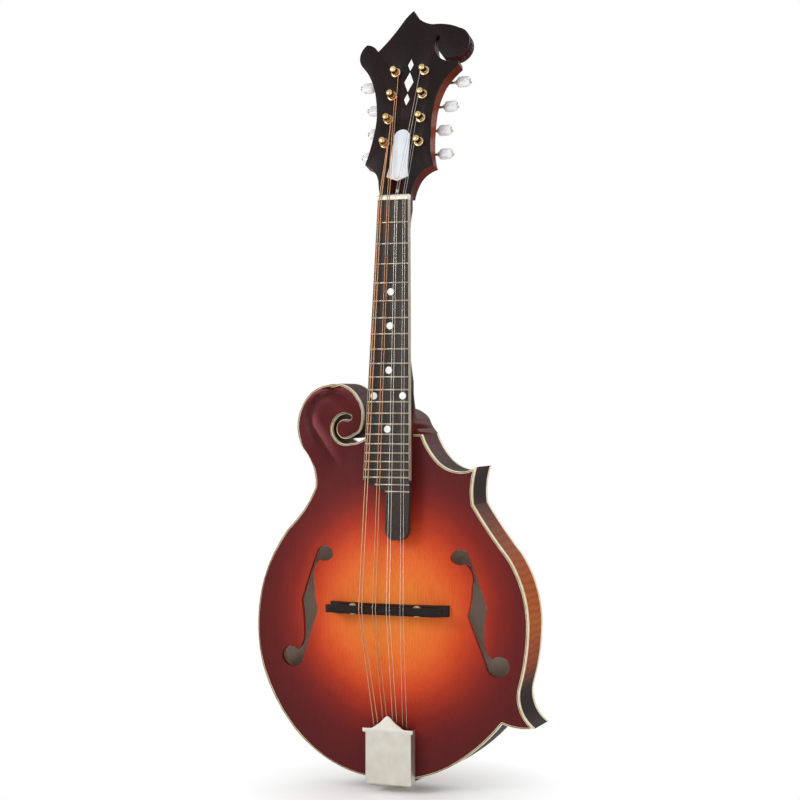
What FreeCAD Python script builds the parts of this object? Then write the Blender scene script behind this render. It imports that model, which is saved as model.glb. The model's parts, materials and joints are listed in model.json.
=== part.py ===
import FreeCAD, Part
import Sketcher
import math
import os

# An f-style mandolin, upright with its neck along +Z and its face towards -Y.
# The origin is the seat of the end pin at the tail, on the centreline, half way through the rim's depth.

V = FreeCAD.Vector
DOC = FreeCAD.newDocument("mandolin")
SHEET = DOC.addObject("Spreadsheet::Sheet", "sizes")

SIZES = [
    # body
    ("body_length", 344.0),
    ("body_width", 261.0),
    ("body_depth", 41.5),
    ("edge_thickness", 4.0),
    ("rib_thickness", 2.2),
    ("binding_width", 1.6),
    ("arch_height", 12.5),
    ("arch_half_width", 114.0),
    ("arch_centre_z", 140.0),
    ("arch_reach_tail", 128.0),
    ("arch_reach_neck", 152.0),
    ("scroll_centre_x", -44.2),
    ("scroll_centre_z", 304.4),
    ("scroll_slot_radius", 8.6),
    ("scroll_slot_width", 4.6),
    ("scroll_ridge_height", 5.0),
    ("scroll_ridge_width", 11.0),
    ("lining_width", 5.0),
    ("lining_height", 6.5),
    ("block_z", 268.0),
    ("tail_block_width", 56.0),
    ("tail_block_length", 14.0),
    ("point_block_radius", 24.0),
    ("tone_bar_length", 190.0),
    ("tone_bar_width", 6.0),
    ("tone_bar_depth", 9.0),
    ("tone_bar_spacing", 56.0),
    ("tone_bar_splay", 5.0),
    ("fhole_length", 110.0),
    ("fhole_centre_x", 79.0),
    ("fhole_centre_z", 147.5),
    # neck and strings
    ("string_scale", 352.4),
    ("saddle_z", 149.3),
    ("saddle_setback", 3.5),
    ("string_height", 27.5),
    ("string_pitch", 4.8),
    ("action_nut", 1.5),
    ("action_joint", 3.1),
    ("joint_z", 300.0),
    ("board_half_nut", 14.4),
    ("board_taper_share", 0.0292),
    ("board_thickness", 5.0),
    ("board_binding", 1.5),
    ("board_overhang", 2.2),
    ("extension_length", 296.0),
    ("extension_corner", 6.5),
    ("fret_width", 2.2),
    ("fret_height", 1.1),
    ("dot_diameter", 6.2),
    ("dot_depth", 0.9),
    ("double_dot_spacing", 26.8),
    ("nut_thickness", 4.6),
    ("nut_height", 6.8),
    ("neck_depth_nut", 14.5),
    ("neck_depth_heel", 17.5),
    ("heel_start", 168.0),
    ("tenon_length", 14.0),
    ("tenon_half_width", 11.0),
    ("riser_length", 236.0),
    ("rod_diameter", 4.8),
    ("rod_length", 160.0),
    # peghead
    ("peg_tilt", 17.5),
    ("peg_drop", 6.2),
    ("peg_length", 185.0),
    ("peg_width", 105.0),
    ("peg_core_thickness", 11.0),
    ("peg_veneer", 1.8),
    ("peg_slot_width", 3.2),
    ("cover_thickness", 1.4),
    ("cover_length", 49.0),
    ("cover_width", 20.5),
    ("cover_start", 18.0),
    # tuners
    ("post_first", 54.9),
    ("post_pitch", 23.0),
    ("post_half_first", 16.0),
    ("post_half_last", 13.7),
    ("post_diameter", 5.8),
    ("post_height", 7.6),
    ("post_hole", 2.1),
    ("bushing_diameter", 9.2),
    ("bushing_flange", 1.1),
    ("bushing_bore_gap", 0.06),
    ("plate_thickness", 1.0),
    ("plate_width", 11.6),
    ("plate_margin", 9.5),
    ("gear_teeth", 16.0),
    ("gear_module", 0.5),
    ("gear_thickness", 2.8),
    ("gear_gap", 1.3),
    ("worm_diameter", 5.0),
    ("worm_turns", 3.3),
    ("shaft_diameter", 2.5),
    ("shaft_gap", 0.06),
    ("lug_thickness", 1.2),
    ("lug_gap", 0.2),
    ("button_length", 13.0),
    ("button_width", 10.4),
    ("button_thickness", 6.0),
    # bridge
    ("bridge_length", 110.0),
    ("bridge_thickness", 9.6),
    ("bridge_base_rise", 4.6),
    ("bridge_foot_height", 3.4),
    ("saddle_thickness", 6.6),
    ("saddle_crest", 0.8),
    ("bridge_post_spacing", 59.6),
    ("bridge_post_diameter", 3.2),
    ("wheel_diameter", 12.0),
    ("wheel_thickness", 2.0),
    ("wheel_gap", 1.1),
    ("saddle_post_gap", 0.1),
    ("wheel_post_gap", 0.05),
    # tailpiece and end pin
    ("tail_cover_width", 42.4),
    ("tail_cover_length", 45.0),
    ("tail_cover_apex", 57.5),
    ("tail_cover_height", 14.0),
    ("tail_cover_lip", 2.6),
    ("tail_cover_bevel", 1.2),
    ("tail_sheet", 1.0),
    ("tail_base_width", 40.0),
    ("tail_base_length", 40.0),
    ("tail_base_rise", 3.2),
    ("tail_foot_depth", 30.0),
    ("tail_cover_clear", 2.6),
    ("hook_z", 24.0),
    ("hook_diameter", 1.6),
    ("hook_height", 3.4),
    ("end_pin_head_diameter", 13.0),
    ("end_pin_head_length", 8.5),
    ("end_pin_shank_diameter", 7.0),
    ("end_pin_shank_length", 20.0),
    # strings
    ("string_e", 0.28),
    ("string_a", 0.38),
    ("string_d", 0.66),
    ("string_g", 1.02),
    ("nut_spread", 21.8),
    ("nut_pair_gap", 1.9),
    ("saddle_spread", 38.0),
    ("saddle_pair_gap", 2.8),
    ("hook_pitch", 4.1),
    ("string_seat_gap", 0.05),
    ("winding_gap", 0.8),
    ("winding_turns", 1.0),
    ("overrun", 3.0),
]

for row, (alias, number) in enumerate(SIZES, start=1):
    SHEET.set("A%d" % row, alias.replace("_", " "))
    SHEET.set("B%d" % row, "%g" % number)
    SHEET.setAlias("B%d" % row, alias)
DOC.recompute()


def size(alias):
    return float(SHEET.get(alias))


PARTS = []


# The end pin seats on the tailpiece's foot, one sheet below the wood, and that seat is the origin.
SEAT = FreeCAD.Placement(V(0, 0, size("tail_sheet")), FreeCAD.Rotation())


def keep(label, shape):
    feature = DOC.addObject("Part::Feature", label)
    feature.Label = label
    feature.Shape = shape
    feature.Placement = SEAT.multiply(shape.Placement)
    PARTS.append(feature)
    return feature


# Smooth outlines are chains of tangent arcs through chosen points.
def heading(a, b, c):
    u, w = b - a, c - b
    return (u * (w.Length / u.Length) + w * (u.Length / w.Length)).normalize()


def arc_edge(start, direction, end):
    chord = end - start
    side = direction.cross(chord)
    if side.Length < 1e-6 * chord.Length:
        return Part.LineSegment(start, end).toShape()
    across = side.cross(direction).normalize()
    radius = chord.dot(chord) / (2 * chord.dot(across))
    centre = start + across * radius
    middle = (start + end) * 0.5 - centre
    if middle.Length < 1e-9:
        middle = direction * radius
    elif chord.dot(direction) < 0:
        middle = middle * -1
    return Part.Arc(start, centre + middle.normalize() * radius, end).toShape()


def biarc(p0, t0, p1, t1):
    chord = p1 - p0
    spread = 2 * (1 - t0.dot(t1))
    along = chord.dot(t0 + t1)
    if spread < 1e-9:
        reach = chord.dot(chord) / (4 * chord.dot(t1))
    else:
        reach = (math.sqrt(along * along + spread * chord.dot(chord)) - along) / spread
    q0, q1 = p0 + t0 * reach, p1 - t1 * reach
    middle = (q0 + q1) * 0.5
    return [arc_edge(p0, t0, middle), arc_edge(middle, (q1 - q0).normalize(), p1)]


def end_heading(first, second, inner):
    chord = (second - first).normalize()
    return (chord * (2 * chord.dot(inner)) - inner).normalize()


def arcs(points, first=None, last=None):
    turns = [heading(*points[i - 1 : i + 2]) for i in range(1, len(points) - 1)]
    if not turns:
        turns_all = [first or last or points[1] - points[0]] * 2
        if first and last:
            turns_all = [first, last]
        elif first:
            turns_all = [first, end_heading(points[0], points[1], first)]
        return biarc(points[0], turns_all[0], points[1], turns_all[1])
    first = first or end_heading(points[0], points[1], turns[0])
    last = last or end_heading(points[-2], points[-1], turns[-1])
    turns = [first] + turns + [last]
    edges = []
    for i in range(len(points) - 1):
        edges += biarc(points[i], turns[i], points[i + 1], turns[i + 1])
    return edges


# A chain of arcs, each through the next three points.
def bows(points, last=None):
    edges = [Part.Arc(*points[i : i + 3]).toShape() for i in range(0, len(points) - 2, 2)]
    if len(points) % 2 == 0:
        ahead = edges[-1].tangentAt(edges[-1].LastParameter)
        edges += biarc(points[-2], ahead, points[-1], last) if last else [arc_edge(points[-2], ahead, points[-1])]
    return edges


def line(a, b):
    return Part.LineSegment(a, b).toShape()


def wire_of(edges):
    return Part.Wire(Part.__sortEdges__(edges))


def polygon(points):
    return Part.makePolygon(list(points) + [points[0]])


def slab(wire, y0, y1):
    face = Part.Face(wire)
    face.translate(V(0, y0 - wire.BoundBox.YMin, 0))
    return face.extrude(V(0, y1 - y0, 0))


def box(x0, x1, y0, y1, z0, z1):
    return Part.makeBox(x1 - x0, y1 - y0, z1 - z0, V(x0, y0, z0))


def rod(radius, start, end):
    return Part.makeCylinder(radius, (end - start).Length, start, end - start)


# Bodies whose sketches and features take their sizes from the sheet by expression.
def worth(text):
    return float(SHEET.evalExpression(text))


def origin_of(body, role):
    return next(item for item in body.Origin.OriginFeatures if item.Role == role)


def new_body(label, place):
    body = DOC.addObject("PartDesign::Body", label)
    body.Label = label
    body.Placement = SEAT.multiply(place)
    PARTS.append(body)
    return body


def sketch_on(body, role, offset="0"):
    sketch = body.newObject("Sketcher::SketchObject", body.Name + "_sketch")
    sketch.AttachmentSupport = [(origin_of(body, role), "")]
    sketch.MapMode = "FlatFace"
    if offset != "0":
        sketch.setExpression("AttachmentOffset.Base.z", offset)
    return sketch


def fix(sketch, kind, name, text, *spots):
    place = sketch.addConstraint(Sketcher.Constraint(kind, *spots, worth(text)))
    if text != "0":
        sketch.renameConstraint(place, name)
        sketch.setExpression("Constraints." + name, text)


def draw_polygon(sketch, corners):
    points = [V(worth(x), worth(y), 0) for x, y in corners]
    first = len(sketch.Geometry)
    for i, point in enumerate(points):
        sketch.addGeometry(Part.LineSegment(point, points[(i + 1) % len(points)]), False)
    for i, (x, y) in enumerate(corners):
        here, after = first + i, first + (i + 1) % len(corners)
        sketch.addConstraint(Sketcher.Constraint("Coincident", here, 2, after, 1))
        fix(sketch, "DistanceX", "across%d" % here, x, -1, 1, here, 1)
        fix(sketch, "DistanceY", "up%d" % here, y, -1, 1, here, 1)


def draw_circle(sketch, x, y, radius):
    centre = V(worth(x), worth(y), 0)
    place = sketch.addGeometry(Part.Circle(centre, V(0, 0, 1), worth(radius)), False)
    fix(sketch, "DistanceX", "across%d" % place, x, -1, 1, place, 3)
    fix(sketch, "DistanceY", "up%d" % place, y, -1, 1, place, 3)
    fix(sketch, "Radius", "radius%d" % place, radius, place)


# Twelve flats standing round a circle of this radius.
def flats(radius, x="0", y="0"):
    corner = "%s / cos(15 deg)" % radius
    turns = [15 + 30 * step for step in range(12)]
    return [("%s + %s * cos(%d deg)" % (x, corner, t), "%s + %s * sin(%d deg)" % (y, corner, t)) for t in turns]


def ring_slab(radius, spot, y0, y1):
    ring = [spot + V(worth(x), 0, worth(z)) for x, z in flats(radius)]
    return slab(polygon(ring), y0, y1)


# An outline worked out above, in the XZ plane, laid into a sketch as it is.
def draw_outline(sketch, wire):
    for edge in wire.Edges:
        stops = [edge.valueAt(edge.FirstParameter + share * (edge.LastParameter - edge.FirstParameter))
                 for share in (0, 0.5, 1)]
        a, b, c = [V(p.x, p.z, 0) for p in stops]
        straight = isinstance(edge.Curve, Part.Line)
        place = sketch.addGeometry(Part.LineSegment(a, c) if straight else Part.Arc(a, b, c), False)
        sketch.addConstraint(Sketcher.Constraint("Block", place))


def pad(body, sketch, length, reversed_way=False, both=False):
    feature = body.newObject("PartDesign::Pad", body.Name + "_pad")
    feature.Profile = sketch
    feature.SideType = "Symmetric" if both else "One side"
    feature.Reversed = reversed_way
    feature.setExpression("Length", length)
    return feature


# A pocket goes against its sketch's normal, or through everything where no depth is given.
def pocket(body, sketch, depth=None, reversed_way=False):
    feature = body.newObject("PartDesign::Pocket", body.Name + "_pocket")
    feature.Profile = sketch
    feature.Reversed = reversed_way
    if depth:
        feature.setExpression("Length", depth)
    else:
        feature.SideType = "Symmetric"
        feature.Type = "ThroughAll"
    return feature


def revolve(body, sketch, axis):
    feature = body.newObject("PartDesign::Revolution", body.Name + "_turned")
    feature.Profile = sketch
    feature.ReferenceAxis = (origin_of(body, axis), [""])
    feature.Angle = 360
    return feature


def row_of(body, features, axis, length, count):
    pattern = body.newObject("PartDesign::LinearPattern", body.Name + "_row")
    pattern.Originals = features
    pattern.Direction = (origin_of(body, axis), [""])
    pattern.setExpression("Length", length)
    pattern.Occurrences = count
    body.Tip = pattern
    return pattern


def break_edges(body, kind, feature, edges, name, amount):
    DOC.recompute()
    chosen = ["Edge%d" % (i + 1) for i, edge in enumerate(feature.Shape.Edges) if edges(edge)]
    work = body.newObject("PartDesign::" + kind, body.Name + "_" + kind.lower())
    work.Base = (feature, chosen)
    work.setExpression(name, amount)
    return work


def cylinder(name, radius, height, base, axis, kind="Cylinder"):
    shape = DOC.addObject("Part::" + kind, name)
    if kind == "Prism":
        shape.Polygon = 12
    shape.setExpression("Circumradius" if kind == "Prism" else "Radius", radius)
    shape.setExpression("Height", height)
    shape.Placement = FreeCAD.Placement(base, FreeCAD.Rotation(V(0, 0, 1), axis))
    return shape


def joined(kind, label, name, pieces, place):
    whole = DOC.addObject(kind, label)
    whole.Label = label
    setattr(whole, name, pieces)
    whole.Placement = SEAT.multiply(place)
    PARTS.append(whole)
    return whole


# Body outline, seen from the front, as shares of the body's width and length.
BOUT_LEFT_SHARE = [
    (0.0, 0.0), (-0.0958, 0.0026), (-0.1762, 0.0166), (-0.272, 0.0523), (-0.3617, 0.1096),
    (-0.4364, 0.189), (-0.4835, 0.273), (-0.5, 0.3663), (-0.4881, 0.4651), (-0.4494, 0.5494),
    (-0.3808, 0.6311), (-0.313, 0.6916), (-0.282, 0.7355), (-0.2881, 0.782), (-0.3272, 0.8343),
    (-0.3487, 0.8895), (-0.3341, 0.9387), (-0.2966, 0.9782), (-0.2337, 0.9985), (-0.1709, 0.9956),
    (-0.1253, 0.9651), (-0.1046, 0.9215), (-0.1142, 0.8851),
]
SCROLL_THROAT_SHARE = [(-0.1264, 0.8512), (-0.0824, 0.8718)]
SHOULDER_SHARE = [
    (0.1042, 0.8718), (0.1234, 0.8404), (0.1552, 0.8081), (0.2008, 0.7849), (0.2494, 0.7797),
    (0.2935, 0.7916),
]
BOUT_RIGHT_SHARE = [
    (0.2935, 0.7916), (0.2805, 0.7471), (0.282, 0.6974), (0.3352, 0.6363), (0.4034, 0.5686),
    (0.454, 0.4863), (0.4705, 0.3985), (0.4598, 0.3099), (0.4425, 0.2526), (0.4414, 0.2035),
    (0.49, 0.1512),
]
HEEL_SHARE = [(-0.072, 0.039), (0.0, 0.0657), (0.072, 0.039), (0.092, 0.0105), (0.1042, 0.0)]
POINT_EDGE_SHARE = [(0.49, 0.1512), (0.4479, 0.1488), (0.3808, 0.1581)]
BOUT_TAIL_SHARE = [(0.3808, 0.1581), (0.3149, 0.1049), (0.228, 0.0541), (0.1149, 0.0134), (0.0, 0.0)]
FHOLE_STEM_OUTER_SHARE = [(0.07, 0.05), (0.05, -0.134), (0.05, -0.243), (0.11, -0.348)]
FHOLE_LOWER_SHARE = [
    (0.11, -0.348), (0.182, -0.328), (0.252, -0.405), (0.165, -0.491), (0.055, -0.394),
    (-0.018, -0.203), (-0.085, -0.02),
]
FHOLE_STEM_INNER_SHARE = [(-0.085, -0.02), (-0.06, 0.077), (-0.05, 0.207), (-0.07, 0.35), (-0.1, 0.38)]
FHOLE_UPPER_SHARE = [
    (-0.1, 0.38), (-0.15, 0.372), (-0.222, 0.419), (-0.163, 0.492), (-0.07, 0.445), (0.005, 0.242),
    (0.07, 0.05),
]


def body_points(shares):
    return [V(x * size("body_width"), 0, z * size("body_length")) for x, z in shares]


def scroll_point(radius, degrees):
    turn = math.radians(degrees)
    centre = V(size("scroll_centre_x"), 0, size("scroll_centre_z"))
    return centre + V(radius * math.cos(turn), 0, radius * math.sin(turn))


def scroll_heading(degrees, way):
    turn = math.radians(degrees)
    return V(-way * math.sin(turn), 0, way * math.cos(turn))


def scroll_arc(radius, start, end):
    stops = [scroll_point(radius, a) for a in (start, (start + end) / 2, end)]
    return Part.Arc(*stops).toShape()


def body_outline():
    inner = size("scroll_slot_radius")
    outer = inner + size("scroll_slot_width")
    middle = (inner + outer) / 2
    mouth, turned, lip = -60.0, -290.0, -80.0
    curl = body_points(BOUT_LEFT_SHARE) + [scroll_point(inner, mouth)]
    throat = [scroll_point(outer, lip)] + body_points(SCROLL_THROAT_SHARE)
    end_degrees = math.degrees(size("scroll_slot_width") / 2 / middle)
    shoulder, tail = body_points(SHOULDER_SHARE), body_points(BOUT_TAIL_SHARE)
    to_left = V(-1, 0, 0)
    edges = arcs(curl[:3], to_left) + bows(curl[2:], scroll_heading(mouth, -1))
    edges.append(scroll_arc(inner, mouth, turned))
    slot_end = scroll_point(middle, turned - end_degrees)
    edges.append(Part.Arc(scroll_point(inner, turned), slot_end, scroll_point(outer, turned)).toShape())
    edges.append(scroll_arc(outer, turned, lip))
    edges += arcs(throat, scroll_heading(lip, 1))
    edges.append(line(throat[-1], shoulder[0]))
    edges += bows(shoulder)
    edges += bows(body_points(BOUT_RIGHT_SHARE))
    edges += bows(body_points(POINT_EDGE_SHARE))
    edges += bows(tail[:3]) + arcs(tail[2:], None, to_left)
    return wire_of(edges)


OUTLINE = body_outline()
FACE_Y = -size("body_depth") / 2
PLATE_Y = FACE_Y + size("edge_thickness")


def inset(distance):
    return max(OUTLINE.makeOffset2D(-distance, 0, False, False, False).Wires, key=lambda w: w.Length)


def smooth(share):
    share = min(max(share, 0.0), 1.0)
    return share * share * (3 - 2 * share)


def arch(x, z):
    reach = size("arch_reach_neck") if z > size("arch_centre_z") else size("arch_reach_tail")
    across = x / size("arch_half_width")
    along = (z - size("arch_centre_z")) / reach
    share = min(math.hypot(across, along), 1.0)
    return size("arch_height") * (1 + math.cos(math.pi * share)) / 2


# The carved ridge climbs out of the left waist and winds into the scroll's button.
def ridge(x, z):
    dx, dz = x - size("scroll_centre_x"), z - size("scroll_centre_z")
    radius = math.hypot(dx, dz)
    degrees = math.degrees(math.atan2(dz, dx))
    if degrees < -60:
        degrees += 360
    slot_outer = size("scroll_slot_radius") + size("scroll_slot_width")
    spread = smooth(degrees / 180)
    crest = slot_outer * (0.2 + 1.9 * spread)
    width = size("scroll_ridge_width") * (0.55 + 0.45 * spread)
    rise = math.exp(-(((radius - crest) / width) ** 2))
    fade = smooth((262 - degrees) / 60)
    clear = smooth((-dx + slot_outer * 1.6) / slot_outer)
    near = smooth((size("body_length") / 3 - radius) / slot_outer)
    return size("scroll_ridge_height") * rise * fade * clear * near


def carved(x, z):
    return arch(x, z) + ridge(x, z)


def stations(start, end, count, fine_from, fine_to, fine_count):
    coarse = [start + (end - start) * i / (count - 1) for i in range(count)]
    if not fine_count:
        return coarse
    fine = [fine_from + (fine_to - fine_from) * i / (fine_count - 1) for i in range(fine_count)]
    outside = [c for c in coarse if c < fine_from - abs(start) * 0.03 or c > fine_to + abs(start) * 0.03]
    return sorted(outside + fine)


# Everything behind a carved surface, which stands off the plane y = level by the given height.
def behind(height, level, way, fine=0):
    half, length = size("body_width") / 2, size("body_length")
    margin = size("body_width") * 0.04
    xs = stations(-half - margin, half + margin, 9, -half * 0.76, -half * 0.12, 7 * fine)
    zs = stations(-margin, length + margin, 10, length * 0.74, length + margin, 7 * fine)
    rows = [[V(x, level - way * height(x, z), z) for z in zs] for x in xs]
    surface = Part.BSplineSurface()
    surface.interpolate(rows)
    return surface.toShape().extrude(V(0, way * size("body_depth") * 1.2, 0))


TOP_FACE = behind(carved, FACE_Y, 1, 1)


# The plate's inside is a low dome of flat facets, ring above ring, open below its rim.
def dome(level, way):
    sides, high, centre = 16, size("arch_height"), size("arch_centre_z")
    rings = [(1.0, -size("lining_height") * 3 / high), (0.99, 0.0)]
    rings += [(share, (1 + math.cos(math.pi * share)) / 2) for share in (0.75, 0.5, 0.25)]
    loops = []
    for share, rise in rings:
        loop = []
        for step in range(sides):
            turn = 2 * math.pi * step / sides
            along = math.sin(turn) * share
            reach = size("arch_reach_neck") if along > 0 else size("arch_reach_tail")
            x, z = size("arch_half_width") * share * math.cos(turn), centre + reach * along
            loop.append(V(x, level - way * high * rise, z))
        loops.append(loop)
    faces = [Part.Face(polygon(loops[0])), Part.Face(polygon(loops[-1]))]
    for low, up in zip(loops, loops[1:]):
        for i in range(sides):
            after = (i + 1) % sides
            faces.append(Part.Face(polygon([low[i], low[after], up[after], up[i]])))
    shell = Part.Solid(Part.makeShell(faces))
    if shell.Volume < 0:
        shell.reverse()
    return shell


def outline_slab(distance, y0, y1):
    return slab(inset(distance) if distance else OUTLINE, y0, y1)


def carved_plate(way):
    level, seat = way * FACE_Y, way * PLATE_Y
    deep = way * (FACE_Y - size("arch_height") * 2)
    blank = outline_slab(size("binding_width"), min(deep, seat), max(deep, seat))
    surface = TOP_FACE if way > 0 else behind(arch, level, way)
    return blank.common(surface).cut(dome(seat, way))


def fhole(side):
    length = size("fhole_length")
    centre = V(side * size("fhole_centre_x"), 0, size("fhole_centre_z"))
    edges = []
    for shares in (FHOLE_STEM_OUTER_SHARE, FHOLE_LOWER_SHARE, FHOLE_STEM_INNER_SHARE, FHOLE_UPPER_SHARE):
        edges += bows([centre + V(side * x * length, 0, z * length) for x, z in shares])
    return slab(wire_of(edges), FACE_Y - size("arch_height") * 2, PLATE_Y + size("overrun"))


def tenon_space(grow):
    half, length = size("tenon_half_width") + grow, size("tenon_length") + grow
    top = size("joint_z")
    back = -FACE_Y - size("edge_thickness")
    return box(-half, half, PLATE_Y, back, top - length, top + size("overrun") + grow)


def end_pin_hole():
    radius, length = size("end_pin_shank_diameter") / 2, size("end_pin_shank_length")
    return rod(radius, V(0, 0, -size("overrun")), V(0, 0, length))


def make_body():
    back_y = -PLATE_Y
    top = carved_plate(1).cut(Part.makeCompound([fhole(-1), fhole(1)]))
    back = carved_plate(-1)
    rim_block = outline_slab(0, PLATE_Y, back_y)
    inside = outline_slab(size("rib_thickness"), PLATE_Y, back_y)
    openings = Part.makeCompound([tenon_space(0), end_pin_hole()])
    rim = rim_block.cut(inside).cut(openings)
    edge = outline_slab(0, FACE_Y, PLATE_Y).cut(outline_slab(size("binding_width"), FACE_Y, PLATE_Y))
    back_edge = edge.copy()
    back_edge.translate(V(0, back_y - FACE_Y, 0))
    wide, tall, block_z = size("body_width"), size("body_length"), size("block_z")
    head_space = box(-wide / 2, size("board_half_nut") * 3.6, PLATE_Y, back_y, block_z, tall)
    head = inside.common(head_space)
    tail_half = size("tail_block_width") / 2
    tail_space = box(-tail_half, tail_half, PLATE_Y, back_y, -size("overrun"), size("tail_block_length"))
    tail = inside.common(tail_space)
    corner = size("point_block_radius")
    upper, lower = body_points([SHOULDER_SHARE[-1], POINT_EDGE_SHARE[0]])
    posts = [rod(corner, V(p.x, PLATE_Y, p.z), V(p.x, back_y, p.z)) for p in (upper, lower)]
    points = inside.common(Part.makeCompound(posts)).cut(head_space)
    solid_inner = Part.makeCompound([head_space, tail_space] + posts)
    depth = size("lining_height")
    hoop = outline_slab(size("rib_thickness"), PLATE_Y, PLATE_Y + depth)
    hoop = hoop.cut(outline_slab(size("rib_thickness") + size("lining_width"), PLATE_Y, PLATE_Y + depth))
    hoop = hoop.cut(solid_inner)
    back_hoop = hoop.copy()
    back_hoop.translate(V(0, back_y - depth - PLATE_Y, 0))
    keep("top_plate", top)
    keep("back_plate", back)
    keep("rim", rim)
    keep("top_binding", edge)
    keep("back_binding", back_edge)
    keep("head_block", head.cut(tenon_space(0)))
    keep("tail_block", tail.cut(end_pin_hole()))
    keep("point_blocks", points)
    keep("linings", Part.makeCompound(hoop.Solids + back_hoop.Solids))
    keep("tone_bars", make_tone_bars())


def make_tone_bars():
    half_length, width = size("tone_bar_length") / 2, size("tone_bar_width")
    depth, rise = size("tone_bar_depth"), size("arch_height")
    under = dome(PLATE_Y, 1)
    lower = under.copy()
    lower.translate(V(0, depth, 0))
    bars = []
    for side in (-1, 1):
        x = side * size("tone_bar_spacing") / 2
        bar = box(x - width / 2, x + width / 2, PLATE_Y - rise, PLATE_Y + depth, -half_length, half_length)
        bar.rotate(V(x, 0, 0), V(0, 1, 0), side * size("tone_bar_splay"))
        bar.translate(V(0, 0, size("saddle_z")))
        bars.append(bar.common(under).cut(lower).Solids[0])
    return Part.makeCompound(bars)


make_body()


# The board frame lies in the fingerboard's face, with its origin at the nut and +Z towards the peghead.
# The peg frame lies in the peghead's face the same way.
PITCH = math.radians(size("string_pitch"))
SADDLE = V(0, FACE_Y - size("string_height"), size("saddle_z"))
ALONG = V(0, math.sin(PITCH), math.cos(PITCH))
OUTWARD = V(0, -math.cos(PITCH), math.sin(PITCH))
NUT = SADDLE + ALONG * (size("string_scale") + size("saddle_setback"))
JOINT_FALL = (NUT.z - size("joint_z")) / math.cos(PITCH)
BOARD_PITCH = PITCH - math.atan((size("action_joint") - size("action_nut")) / JOINT_FALL)
BOARD = FreeCAD.Placement(
    NUT - OUTWARD * size("action_nut"), FreeCAD.Rotation(V(1, 0, 0), -math.degrees(BOARD_PITCH))
)
PEG = FreeCAD.Placement(
    V(0, NUT.y + size("peg_drop"), NUT.z), FreeCAD.Rotation(V(1, 0, 0), -size("peg_tilt"))
)


def placed(shape, placement):
    moved = shape.copy()
    moved.transformShape(placement.toMatrix(), False)
    return moved


def board_half(z):
    return size("board_half_nut") - z * size("board_taper_share")


def fret_z(number):
    return -size("string_scale") * (1 - 2 ** (-number / 12))


# The board's outline in its own frame, less a strip along each side for the binding.
def board_wire(strip):
    last_full, last = fret_z(20) - size("fret_width"), fret_z(22) - size("fret_width")
    end, corner = -size("extension_length"), size("extension_corner")
    half_end = board_half(end) - size("board_overhang") * 0.6
    left = V(-board_half(last_full) + strip, 0, last_full)
    step = V(0, 0, last)
    dip = (left + step) * 0.5
    right_last = V(board_half(last_full) - strip, 0, last_full)
    low_left, low_right = V(0, 0, end + corner), V(half_end, 0, end + corner)
    foot_left, foot_right = V(corner, 0, end), V(half_end - corner, 0, end)
    down, along = V(0, 0, -1), V(1, 0, 0)
    edges = [
        line(V(-board_half(0) + strip, 0, 0), left),
        line(step, low_left),
        line(foot_left, foot_right),
        line(low_right, V(half_end, 0, last_full)),
        line(right_last, V(board_half(0) - strip, 0, 0)),
        line(V(board_half(0) - strip, 0, 0), V(-board_half(0) + strip, 0, 0)),
    ]
    edges += arcs([left, dip, step], down, down)
    edges += arcs([low_left, foot_left], down, along)
    edges += arcs([foot_right, low_right], along, V(0, 0, 1))
    if abs(half_end - right_last.x) > 1e-6:
        edges.append(line(V(half_end, 0, last_full), right_last))
    return wire_of(edges)


def dot_places():
    double = size("double_dot_spacing") / 2
    places = [(0, fret) for fret in (5, 7, 10, 15)] + [(-double, 12), (double, 12)]
    return [V(x, 0, (fret_z(fret) + fret_z(fret - 1)) / 2) for x, fret in places]


def dots():
    radius, depth = "(sizes.dot_diameter / 2)", size("dot_depth")
    return Part.makeCompound([ring_slab(radius, spot, 0, depth) for spot in dot_places()])


def fret(number):
    z, half = fret_z(number), size("fret_width") / 2
    left, right = -board_half(z), board_half(z)
    if number > 20:
        left = -board_half(z) * (0.5 if number == 21 else 0.03)
    shares = [(-1, 0), (-0.8, 0.68), (-0.34, 1), (0.34, 1), (0.8, 0.68), (1, 0)]
    crown = [V(left, -y * size("fret_height"), z + half * x) for x, y in shares]
    return Part.Face(polygon(crown)).extrude(V(right - left, 0, 0))


def make_fingerboard():
    thick, strip = size("board_thickness"), size("board_binding")
    board = new_body("fingerboard", BOARD)
    outline = sketch_on(board, "XZ_Plane")
    draw_outline(outline, board_wire(strip))
    pad(board, outline, "sizes.board_thickness", True)
    places = sketch_on(board, "XZ_Plane")
    for spot in dot_places():
        draw_polygon(places, flats("(sizes.dot_diameter / 2)", "%.9g" % spot.x, "%.9g" % spot.z))
    pocket(board, places, "sizes.dot_depth")
    z_end = fret_z(20) - size("fret_width")
    strips = []
    for side in (-1, 1):
        outer = [V(side * board_half(z), 0, z) for z in (0, z_end)]
        inner = [V(side * (board_half(z) - strip), 0, z) for z in (z_end, 0)]
        strips.append(slab(polygon(outer + inner), 0, thick))
    keep("fingerboard_binding", placed(Part.makeCompound(strips), BOARD))
    keep("position_dots", placed(dots(), BOARD))
    keep("frets", placed(Part.makeCompound([fret(n) for n in range(1, 23)]), BOARD))


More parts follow.
